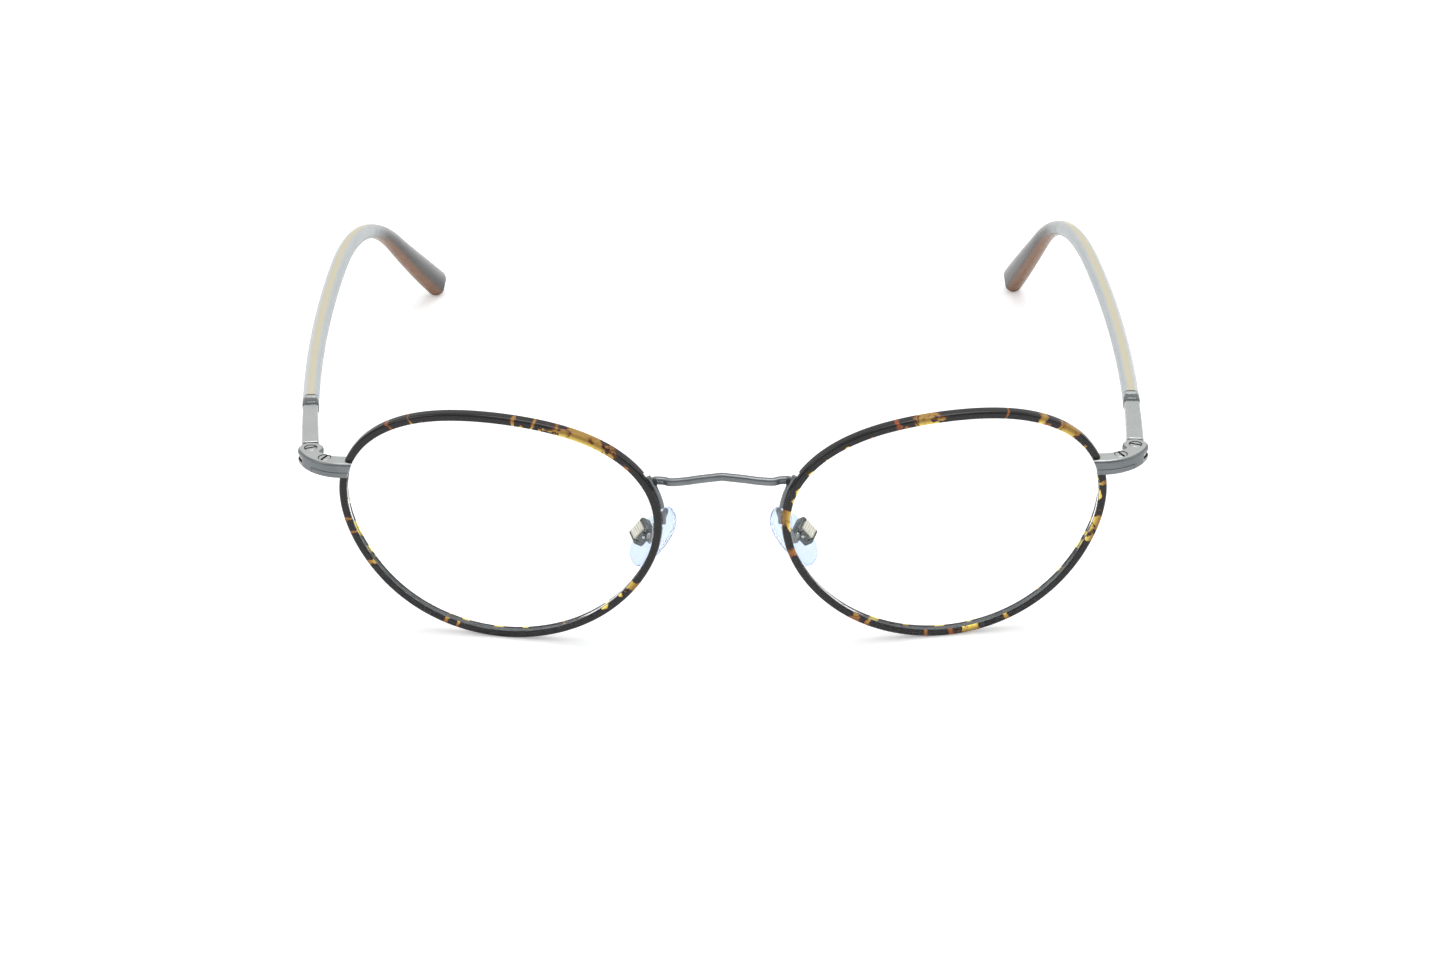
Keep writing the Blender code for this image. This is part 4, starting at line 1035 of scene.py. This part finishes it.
def make_end_piece(label, side):
    block_stop = 5
    piece = rounded_prism("end_piece_" + label + "_fine", lambda inset: end_outline(inset, side),
                          eased_levels(END_BOTTOM, END_TOP, True))
    block = rounded_prism("closing_block_" + label + "_fine",
                          lambda inset: end_outline(inset, side, block_stop),
                          eased_levels(END_BOTTOM, END_SPLIT - SPLIT_GAP / 2, False))
    hinge = hinge_point(side)
    closing = closing_point(side)
    slot_half = KNUCKLE_HEIGHT / 2 + 0.05
    tip = END_BOTTOM + SCREW_TIP_RISE
    knuckle_room = upright_cylinder("knuckle_room", hinge, BARREL_RADIUS + 0.3,
                                    END_MIDDLE - slot_half, END_MIDDLE + slot_half, 96)
    carve(piece, [eyewire_room(side), lens_opening(side), block_room(side, block_stop),
                  knuckle_room, screw_hole("hinge_hole", hinge, END_TOP, tip),
                  screw_hole("closing_hole", closing, END_TOP, tip)])
    carve(block, [eyewire_room(side), lens_opening(side),
                  screw_hole("closing_hole", closing, END_TOP, tip)])
    # Marks the upward faces, which get a painted reflection
    mark_lit_tops(piece)
    finish_piece(piece, SATIN_GREY, "front", "gunmetal", "end_piece_" + label)
    shade_recess(piece, SHADOW_STEEL, lambda p: (
        p.z < END_TOP - 0.03
        and any(hypot(p.x - hole.x, p.y - hole.y) < SCREW_HEAD_RADIUS + 0.2
                for hole in (hinge, closing))))
    finish_piece(block, SATIN_GREY, "front", "gunmetal", "closing_block_" + label)
    make_screw("hinge_screw_" + label, hinge, -side * HINGE_SLOT_TURN)
    make_screw("closing_screw_" + label, closing, 90 + side * CLOSING_SLOT_TURN)


# ---------------------------------------------------------------- bridge and pads

def foot_section(depth_low, depth_high, thickness):
    """A solder foot with eased outer corners, as (reach, depth) pairs."""
    floor = RIM_OVER_LENS - COVER_WALL
    top = floor + thickness
    corner = 0.22
    return ([(floor, depth_low)] + arc((top - corner, depth_low + corner), corner, -90, 0, 4)
            + arc((top - corner, depth_high - corner), corner, 0, 90, 4) + [(floor, depth_high)])


def rim_room(side):
    """Room for the rim past its notch: all of it inside the foot, and its front half outside."""
    floor = RIM_OVER_LENS - COVER_WALL
    behind = RIM_DEPTH / 2 + FIT
    outer = RIM_OVER_LENS + FIT
    section = [(-RIM_LIP, -RIM_DEPTH), (outer, -RIM_DEPTH), (outer, 0.0), (floor, 0.0),
               (floor, behind), (-RIM_LIP, behind)]
    return swept_room("rim_room", section, side)


def make_bridge():
    """A low arched bar whose ends curl up before they drop onto a solder foot on each eyewire."""
    crown = LENS_CENTRE_HEIGHT + BRIDGE_RISE
    floor = RIM_OVER_LENS - COVER_WALL
    foot_top = rim_point(radians(FOOT_START + 4), floor + FOOT_THICKNESS / 2, 0.6, 1)
    half = [(0, -0.1, crown), (3.4, -0.15, crown - 0.4), (5.7, -0.2, crown - 0.72),
            (7.9, -0.15, crown - 0.9), (9.15, 0.2, crown - 0.82),
            (foot_top.x - 0.1, 0.0, crown - 0.72), tuple(foot_top)]
    right = smooth_curve(half, 10)
    line = [Vector((-p.x, p.y, p.z)) for p in right[:0:-1]] + right
    section = rounded_box(BRIDGE_DEPTH, BRIDGE_HEIGHT, 0.46, 6)
    rings = [place_section(placed, section) for placed in path_frames(line, UP)]
    bridge = lofted("bridge_fine", rings)
    feet = []
    for side in SIDES.values():
        angles = angles_between(FOOT_START, FOOT_END, 30)
        section = foot_section(FIT, RIM_DEPTH / 2, FOOT_THICKNESS)
        feet.append(mesh_object("bridge_foot", *rim_sweep(section, side, angles, False)))
    carve(bridge, feet, "UNION")
    carve(bridge, [rim_room(side) for side in SIDES.values()])
    finish_piece(bridge, GUNMETAL, "front", "gunmetal", "bridge")


def make_solder(label, side):
    """A small dark lump where the bridge meets its foot."""
    reach = RIM_OVER_LENS - COVER_WALL + FOOT_THICKNESS * 0.72
    centre = rim_point(radians(FOOT_START + 3.5), reach, 0.62, side)
    half_width, half_depth, half_height = 0.62, 0.55, 0.78
    rings = []
    for i in range(1, 16):
        turn = pi * i / 16
        rings.append([centre + Vector((half_width * sin(turn) * cos(a),
                                       half_depth * sin(turn) * sin(a),
                                       -half_height * cos(turn))) for a in angles_around(28)])
    lump = lofted("solder_" + label, rings)
    carve(lump, [rim_room(side)])
    finish_piece(lump, SOLDER, "front", "gunmetal")


def pad_frame(side):
    """Matrix from the pad's axes: x away from the nose, y back along the face, z along the pad."""
    centre = PAD_POSITION + Vector((0, 0, LENS_CENTRE_HEIGHT))
    turn = (Matrix.Rotation(radians(-PAD_FRONTAL_ANGLE), 4, "Y")
            @ Matrix.Rotation(radians(-PAD_SPLAY_ANGLE), 4, "Z"))
    return Matrix.Scale(side, 4, Vector((1, 0, 0))) @ Matrix.Translation(centre) @ turn


def pad_box(name, side, low, high):
    frame_matrix = pad_frame(side)
    rings = []
    for z in (low[2], high[2]):
        corners = [(low[0], low[1]), (high[0], low[1]), (high[0], high[1]), (low[0], high[1])]
        rings.append([frame_matrix @ Vector((x, y, z)) for x, y in corners])
    return lofted(name, rings)


HOLDER_NEAR = PAD_THICKNESS / 2 + HOLDER_STANDOFF
HOLDER_FACE = HOLDER_NEAR + HOLDER_DEPTH
PIN_REACH = HOLDER_NEAR + HOLDER_BASE + (HOLDER_DEPTH - HOLDER_BASE) / 2
STEM_END = HOLDER_NEAR + HOLDER_BASE + PAD_PLAY / 2


def pad_pin(name, side, profile):
    """A turned piece on the pin's axis; the profile gives radius and place along it."""
    frame_matrix = pad_frame(side)
    rings = []
    for radius, y in profile:
        ring = [(PIN_REACH + a, y, b) for a, b in oval(2 * radius, 2 * radius, 32)]
        rings.append([frame_matrix @ Vector(p) for p in ring])
    return lofted(name, rings)


def pin_hole(side):
    radius = PIN_RADIUS + FIT
    return pad_pin("pin_hole", side, [(radius, -HOLDER_WIDTH), (radius, HOLDER_WIDTH)])


def make_nose_pad(label, side):
    """A soft oval pad with a stem that reaches back through the holder's base."""
    frame_matrix = pad_frame(side)
    rings = []
    rows = 36
    for i in range(1, rows):
        angle = pi * i / rows
        height = -PAD_LENGTH / 2 * cos(angle)
        girth = sin(angle) ** 0.75
        outline = oval(PAD_THICKNESS * girth, PAD_WIDTH * girth, 56)
        ring = [(a * 0.9 if a > 0 else a, b, height) for a, b in outline]
        rings.append([frame_matrix @ Vector(p) for p in ring])
    pad = lofted("nose_pad_" + label + "_fine", rings)
    half = STEM_SIZE / 2
    carve(pad, [pad_box("stem", side, (0, -half, -half), (STEM_END, half, half))], "UNION")
    finish_piece(pad, SILICONE, "pad_" + label, "clear_silicone", "nose_pad_" + label)


def make_insert(label, side):
    """The ivory block in the holder, with ribs across its open face."""
    width_half = HOLDER_WIDTH / 2 - HOLDER_WALL - FIT
    length_half = INSERT_LENGTH / 2
    top = HOLDER_FACE + INSERT_PROUD
    insert = pad_box("pad_insert_" + label + "_fine", side,
                     (STEM_END + FIT, -width_half, -length_half), (top, width_half, length_half))
    soften(insert, 0.12, 3)
    grooves = []
    half = length_half / GROOVE_COUNT * GROOVE_SHARE
    for i in range(GROOVE_COUNT):
        height = length_half * (2 * (i + 0.5) / GROOVE_COUNT - 1)
        grooves.append(pad_box("rib_groove_%d" % i, side,
                               (top - GROOVE_DEPTH, -width_half * 2, height - half),
                               (top + 1, width_half * 2, height + half)))
    carve(insert, grooves + [pin_hole(side)])
    finish_piece(insert, IVORY, "pad_" + label, "ivory_plastic", "pad_insert_" + label)


def make_holder(label, side):
    """A pressed metal box with softened corners, open away from the nose."""
    length_half = HOLDER_LENGTH / 2
    half = HOLDER_WIDTH / 2
    holder = pad_box("pad_holder_" + label + "_fine", side, (HOLDER_NEAR, -half, -length_half),
                     (HOLDER_FACE, half, length_half))
    soften(holder, HOLDER_ROUNDING, 6)
    pocket_half = INSERT_LENGTH / 2 + PAD_PLAY
    pocket_width = half - HOLDER_WALL
    window_half = STEM_SIZE / 2 + PAD_PLAY * 1.6
    pocket = pad_box("pocket", side, (HOLDER_NEAR + HOLDER_BASE, -pocket_width, -pocket_half),
                     (HOLDER_FACE + 1, pocket_width, pocket_half))
    window = pad_box("window", side, (HOLDER_NEAR - 1, -window_half, -window_half),
                     (HOLDER_NEAR + HOLDER_BASE + FIT, window_half, window_half))
    waists = []
    for end in (-1, 1):
        low, high = sorted((end * length_half * 0.42, end * length_half * 0.58))
        waists.append(pad_box("waist_%d" % end, side, (HOLDER_FACE - 0.45, -half - 1, low),
                              (HOLDER_FACE + 1, half + 1, high)))
    carve(holder, [pocket, window, pin_hole(side)] + waists)
    finish_piece(holder, DARK_METAL, "front", "gunmetal", "pad_holder_" + label)
    pin = pad_pin("pad_pin_" + label + "_fine", side,
                  [(PIN_RADIUS - 0.08, -half + 0.02), (PIN_RADIUS, -half + 0.1),
                   (PIN_RADIUS, half - 0.1), (PIN_RADIUS - 0.08, half - 0.02)])
    finish_piece(pin, BRIGHT_STEEL, "front", "bright_steel", "pad_pin_" + label)


def make_pad_arm(label, side):
    """A wire from a foot on the eyewire, back and round to the pad holder's front face."""
    floor = RIM_OVER_LENS - COVER_WALL
    middle_angle = radians((ARM_START + ARM_END) / 2)
    foot_middle = rim_point(middle_angle, floor + FOOT_THICKNESS / 2, RIM_DEPTH / 4, 1)
    behind_rim = rim_point(middle_angle, floor + FOOT_THICKNESS / 2, RIM_DEPTH * 1.5, 1)
    frame_matrix = pad_frame(1)
    seat_height = HOLDER_LENGTH / 4
    holder_half = HOLDER_WIDTH / 2
    middle = (HOLDER_NEAR + HOLDER_FACE) / 2
    seat = frame_matrix @ Vector((middle, -holder_half - FIT, seat_height))
    approach = frame_matrix @ Vector((middle, -holder_half - 1.6, seat_height))
    halfway = behind_rim * 0.55 + approach * 0.45 + Vector((-0.2, 0.4, 0.3))
    line = [Vector((side * p.x, p.y, p.z))
            for p in smooth_curve([foot_middle, behind_rim, halfway, approach, seat], 12)]
    wire = oval(2 * ARM_RADIUS, 2 * ARM_RADIUS, 24)
    rings = [place_section(placed, wire) for placed in path_frames(line, Vector((1, 0, 0)))]
    arm = lofted("pad_arm_" + label + "_fine", rings)
    section = foot_section(FIT, RIM_DEPTH / 2, FOOT_THICKNESS)
    foot = mesh_object("arm_foot", *rim_sweep(
        section, side, angles_between(ARM_START, ARM_END, 12), False))
    carve(arm, [foot], "UNION")
    trim = pad_box("arm_trim", side, (HOLDER_NEAR - 1, -holder_half - FIT, -HOLDER_LENGTH),
                   (HOLDER_FACE + 1, holder_half, HOLDER_LENGTH))
    carve(arm, [trim, rim_room(side)])
    finish_piece(arm, GUNMETAL, "front", "gunmetal", "pad_arm_" + label)


# ---------------------------------------------------------------- temples

def temple_direction(label, bend, distance):
    bent = min(max((distance - BEND_START) / (BEND_RADIUS * bend), 0), 1)
    past_bend = min(max((distance - BEND_START) / (TEMPLE_LENGTH - BEND_START), 0), 1)
    pitch = radians(TEMPLE_CLIMB) - bend * bent
    heading = radians(SPLAY[label] - TEMPLE_CURL * distance + TIP_TURN[label] * past_bend)
    return Vector((sin(heading) * cos(pitch), cos(heading) * cos(pitch), sin(pitch)))


def temple_walk(label, side, drop, stations):
    """Frames at distances along the temple, for a drop angle of its tip below the level."""
    bend = radians(TEMPLE_CLIMB + drop)
    here = hinge_point(1) + Vector((0, 0, END_MIDDLE))
    frames = []
    travelled = 0.0
    for station in stations:
        while travelled < station - 1e-9:
            advance = min(0.5, station - travelled)
            here = here + temple_direction(label, bend, travelled + advance / 2) * advance
            travelled += advance
        ahead = temple_direction(label, bend, station)
        across = ahead.cross(UP).normalized()
        up = across.cross(ahead)
        frames.append(tuple(Vector((side * v.x, v.y, v.z)) for v in (here, across, up)))
    return frames


def sleeve_size(distance):
    share = min(max((distance - TIP_FLARE_START) / (TEMPLE_LENGTH - TIP_FLARE_START), 0), 1)
    ease = share * share * (3 - 2 * share)
    width = SLEEVE_WIDTH + (TIP_WIDTH - SLEEVE_WIDTH) * ease
    height = SLEEVE_HEIGHT + (TIP_HEIGHT - SLEEVE_HEIGHT) * ease
    left = TEMPLE_LENGTH - distance
    tip_round = TIP_WIDTH / 2
    if left < tip_round:
        shrink = max(1 - (1 - left / tip_round) ** 2, 0) ** 0.5
        width *= shrink
        height *= 1 - (1 - shrink) * TIP_WIDTH / TIP_HEIGHT
    return width, height


def sleeve_stations(count=170):
    start = BAR_START + BAR_LENGTH + COLLAR_LENGTH + 2 * FIT
    tip_round = TIP_WIDTH / 2
    stations = [start + (TEMPLE_LENGTH - tip_round - start) * i / count for i in range(count + 1)]
    return stations + [TEMPLE_LENGTH - tip_round * share for share in
                       (0.85, 0.7, 0.55, 0.42, 0.3, 0.2, 0.12, 0.06, 0.02)]


def sleeve_section(distance, corner_steps=8):
    width, height = sleeve_size(distance)
    share = min(max((distance - ROUNDER_FROM) / (ROUNDER_TO - ROUNDER_FROM), 0), 1)
    rounding = SLEEVE_ROUNDING + (TIP_ROUNDING - SLEEVE_ROUNDING) * share
    return rounded_box(width, height, rounding * min(width, height), corner_steps)


def sleeve_rings(label, side, drop, stations, corner_steps=8):
    frames = temple_walk(label, side, drop, stations)
    return [place_section(placed, sleeve_section(distance, corner_steps))
            for distance, placed in zip(stations, frames)]


def temple_drop(label):
    """Drop angle at which the lowest point of the tip rests on the surface below."""
    low, high = 10.0, 80.0
    stations = [d for d in sleeve_stations(22) if d > 100]
    for _ in range(24):
        middle = (low + high) / 2
        lowest = min(p.z for ring in sleeve_rings(label, 1, middle, stations, 2) for p in ring)
        if lowest > 0:
            low = middle
        else:
            high = middle
    return low


def make_sleeve(label, side, drop):
    stations = sleeve_stations()
    outer = sleeve_rings(label, side, drop, stations)
    bore_end = TEMPLE_LENGTH - CORE_END_MARGIN + FIT
    inner_stations = [d for d in sleeve_stations(85) if d < bore_end - 1] + [bore_end]
    count = len(outer[0])
    inner = []
    bore = oval(CORE_WIDTH + 4 * FIT, CORE_HEIGHT + 4 * FIT, count)
    for placed in temple_walk(label, side, drop, inner_stations):
        inner.append(place_section(placed, bore))
    sleeve = lofted("temple_sleeve_" + label + "_fine", inner[::-1] + outer)
    places = [(d, 0.0, 0.0) for d in inner_stations[::-1] for _ in range(count)]
    for distance in stations:
        width, height = (max(size, 0.5) for size in sleeve_size(distance))
        places += [(distance, 2 * a / width, 2 * b / height) for a, b in sleeve_section(distance)]
    for i, name in enumerate(("along", "outward", "rise")):
        values = sleeve.data.attributes.new(name, "FLOAT", "POINT")
        values.data.foreach_set("value", [place[i] for place in places])
    finish_piece(sleeve, SLEEVE_GREY, "temple_" + label, "grey_sleeve", "temple_sleeve_" + label,
                 smooth_angle=50)


def make_core(label, side, drop):
    start = BAR_START + BAR_LENGTH + FIT
    stop = TEMPLE_LENGTH - CORE_END_MARGIN
    stations = [start] + [d for d in sleeve_stations() if d < stop - 1] + [stop]
    frames = temple_walk(label, side, drop, stations)
    wire = oval(CORE_WIDTH, CORE_HEIGHT, 24)
    core = lofted("core_wire_" + label + "_fine",
                  [place_section(placed, wire) for placed in frames])
    finish_piece(core, GILT, "temple_" + label, "gilt_core", "core_wire_" + label)


def make_collar(label, side, drop):
    """A ring between bar and sleeve: a dark band, a groove, then a bright band."""
    start = BAR_START + BAR_LENGTH + FIT
    groove = 0.12
    # Share of the length, inset, and band: 1 dark, 0 bright, 2 the seam against the sleeve, painted
    # near black as shade
    marks = ((0.0, groove, 1), (0.02, 0.06, 1), (0.06, 0.01, 1), (0.12, 0.0, 1), (0.52, 0.0, 1),
             (0.545, 0.03, 1), (0.56, groove, 1), (0.62, groove, 0), (0.635, 0.03, 0),
             (0.66, 0.0, 0), (0.90, 0.0, 0), (0.915, 0.03, 0), (0.925, 0.08, 2), (1.0, 0.09, 2))
    stations = [start + share * COLLAR_LENGTH for share, _, _ in marks]
    frames = temple_walk(label, side, drop, stations)
    outer = []
    for placed, (_, inset, _) in zip(frames, marks):
        section = rounded_box(COLLAR_WIDTH - 2 * inset, COLLAR_HEIGHT - 2 * inset,
                              COLLAR_ROUNDING - inset, 8)
        outer.append(place_section(placed, section))
    count = len(outer[0])
    bore = oval(CORE_WIDTH + 2 * FIT, CORE_HEIGHT + 2 * FIT, count)
    inner = [place_section(placed, bore) for placed in (frames[0], frames[-1])]
    rings = [inner[0]] + outer + [inner[1]]
    collar = mesh_object("collar_" + label + "_fine", *loft(rings, closed_path=True))
    bands = [1.0] + [float(band) for _, _, band in marks] + [0.0]
    bands = [band for band in bands for _ in range(count)]
    collar.data.attributes.new("band", "FLOAT", "POINT").data.foreach_set("value", bands)
    finish_piece(collar, BANDED_STEEL, "temple_" + label, "bright_steel", "collar_" + label)


def make_bar(label, side, drop):
    """A metal bar with one hinge knuckle that runs between the end piece's ears."""
    share_marks = [(0.0, 0.14), (0.03, 0.08), (0.07, 0.03), (0.13, 0.008), (0.2, 0.0)]
    stations = [BAR_START + distance for distance, _ in share_marks]
    insets = [inset for _, inset in share_marks]
    for i in range(1, 13):
        stations.append(BAR_START + 0.2 + (BAR_LENGTH - 0.4) * i / 12)
        insets.append(0.0)
    stations += [BAR_START + BAR_LENGTH - 0.1, BAR_START + BAR_LENGTH]
    insets += [0.03, 0.12]
    rings = []
    for placed, distance, inset in zip(temple_walk(label, side, drop, stations), stations, insets):
        share = (distance - BAR_START) / BAR_LENGTH
        width = BAR_WIDTH + (BAR_END_WIDTH - BAR_WIDTH) * share - inset
        height = BAR_HEIGHT - (BAR_WIDTH - BAR_END_WIDTH) * share - inset
        rings.append(place_section(placed, rounded_box(width, height, 0.5, 6)))
    bar = lofted("temple_bar_" + label + "_fine", rings)
    half = KNUCKLE_HEIGHT / 2
    hinge = hinge_point(side)
    knuckle = upright_cylinder("knuckle", hinge, KNUCKLE_RADIUS,
                               END_MIDDLE - half, END_MIDDLE + half, 64)
    turn = Matrix.Rotation(radians(-side * SPLAY[label]), 3, "Z")
    neck_half = BAR_WIDTH / 2 - 0.3
    neck_end = BAR_START + 1
    rings = []
    for z in (END_MIDDLE - half, END_MIDDLE + half):
        corners = [(-neck_half, 0), (neck_half, 0), (neck_half, neck_end), (-neck_half, neck_end)]
        rings.append([hinge + turn @ Vector((x, y, 0)) + Vector((0, 0, z)) for x, y in corners])
    carve(bar, [knuckle, lofted("neck", rings)], "UNION")
    carve(bar, [upright_cylinder("knuckle_hole", hinge, SCREW_SHANK_RADIUS + 0.05,
                                 END_MIDDLE - 1, END_MIDDLE + 1, 48)])
    finish_piece(bar, BRIGHT_STEEL, "temple_" + label, "bright_steel", "temple_bar_" + label)


# ---------------------------------------------------------------- stage

def seen_directly(tree):
    """1 where the camera looks straight at a surface or through clear plastic at it."""
    path = add_node(tree, "ShaderNodeLightPath")
    return maths(tree, "MAXIMUM", path.outputs["Is Camera Ray"],
                 path.outputs["Is Transmission Ray"])


def make_floor():
    size = FLOOR_HALF_SIZE
    mesh = bpy.data.meshes.new("floor")
    corners = [(-size, -size, 0), (size, -size, 0), (size, size, 0), (-size, size, 0)]
    mesh.from_pydata(corners, [], [(0, 1, 2, 3)])
    floor = bpy.data.objects.new("floor", mesh)
    floor.location.z = -FLOOR_DROP
    bpy.context.scene.collection.objects.link(floor)
    material, tree, shader = new_material("pale_floor", Roughness=0.9, Specular_IOR_Level=0.05)
    paper = object_noise(tree, 60.0, 4.0)
    tone = blend_colours(tree, paper, (0.90, 0.90, 0.90), (0.93, 0.93, 0.93))
    lift = blend_colours(tree, seen_directly(tree), (0.0, 0.0, 0.0), (FLOOR_LIFT,) * 3)
    feed(tree, shader, Base_Color=tone, Emission_Color=lift)
    shader.inputs["Emission Strength"].default_value = 1.0
    mesh.materials.append(material)


def make_surround():
    world = bpy.data.worlds.new("studio")
    bpy.context.scene.world = world
    world.use_nodes = True
    tree = world.node_tree
    shader = tree.nodes["Background"]
    place = add_node(tree, "ShaderNodeTexCoord")
    split = add_node(tree, "ShaderNodeSeparateXYZ", {"Vector": place.outputs["Generated"]})
    rise = smooth_mask(tree, split.outputs["Z"], 0.0, 0.8)
    behind = smooth_mask(tree, split.outputs["Y"], -0.35, 0.55)
    open_sky = blend_colours(tree, rise, (0.16, 0.165, 0.17), (0.62, 0.62, 0.62))
    tone = blend_colours(tree, behind, open_sky, (0.72, 0.72, 0.72))
    feed(tree, shader, Color=blend_colours(tree, seen_directly(tree), tone, (1.0, 1.0, 1.0)))
    shader.inputs["Strength"].default_value = 1.0


def area_light(name, place, size, power):
    """A soft lamp that points at the middle of the glasses."""
    data = bpy.data.lights.new(name, "AREA")
    data.shape = "RECTANGLE"
    data.size, data.size_y = size
    data.energy = power
    light = bpy.data.objects.new(name, data)
    light.location = place
    light.rotation_mode = "QUATERNION"
    light.rotation_quaternion = (-Vector(place)).to_track_quat("-Z", "Y")
    bpy.context.scene.collection.objects.link(light)


def make_camera():
    data = bpy.data.cameras.new("camera")
    data.lens = CAMERA_LENS
    data.sensor_width = 36.0
    data.clip_start = 0.01
    data.clip_end = 20
    camera = bpy.data.objects.new("camera", data)
    camera.location = CAMERA_PLACE
    ahead = Vector(CAMERA_AHEAD).normalized()
    camera.rotation_mode = "QUATERNION"
    roll = Matrix.Rotation(radians(CAMERA_ROLL), 4, ahead).to_quaternion()
    camera.rotation_quaternion = roll @ ahead.to_track_quat("-Z", "Y")
    bpy.context.scene.collection.objects.link(camera)
    bpy.context.scene.camera = camera


def make_glasses():
    make_bridge()
    for label, side in SIDES.items():
        make_rim(label, side)
        make_eyewire(label, side)
        make_lens(label, side)
        make_end_piece(label, side)
        make_solder(label, side)
        make_pad_arm(label, side)
        make_holder(label, side)
        make_nose_pad(label, side)
        make_insert(label, side)
        drop = temple_drop(label)
        make_bar(label, side, drop)
        make_collar(label, side, drop)
        make_core(label, side, drop)
        make_sleeve(label, side, drop)


make_glasses()
make_floor()
make_surround()
for light in LIGHTS:
    area_light(*light)
make_camera()
bpy.context.scene.view_settings.view_transform = "Standard"
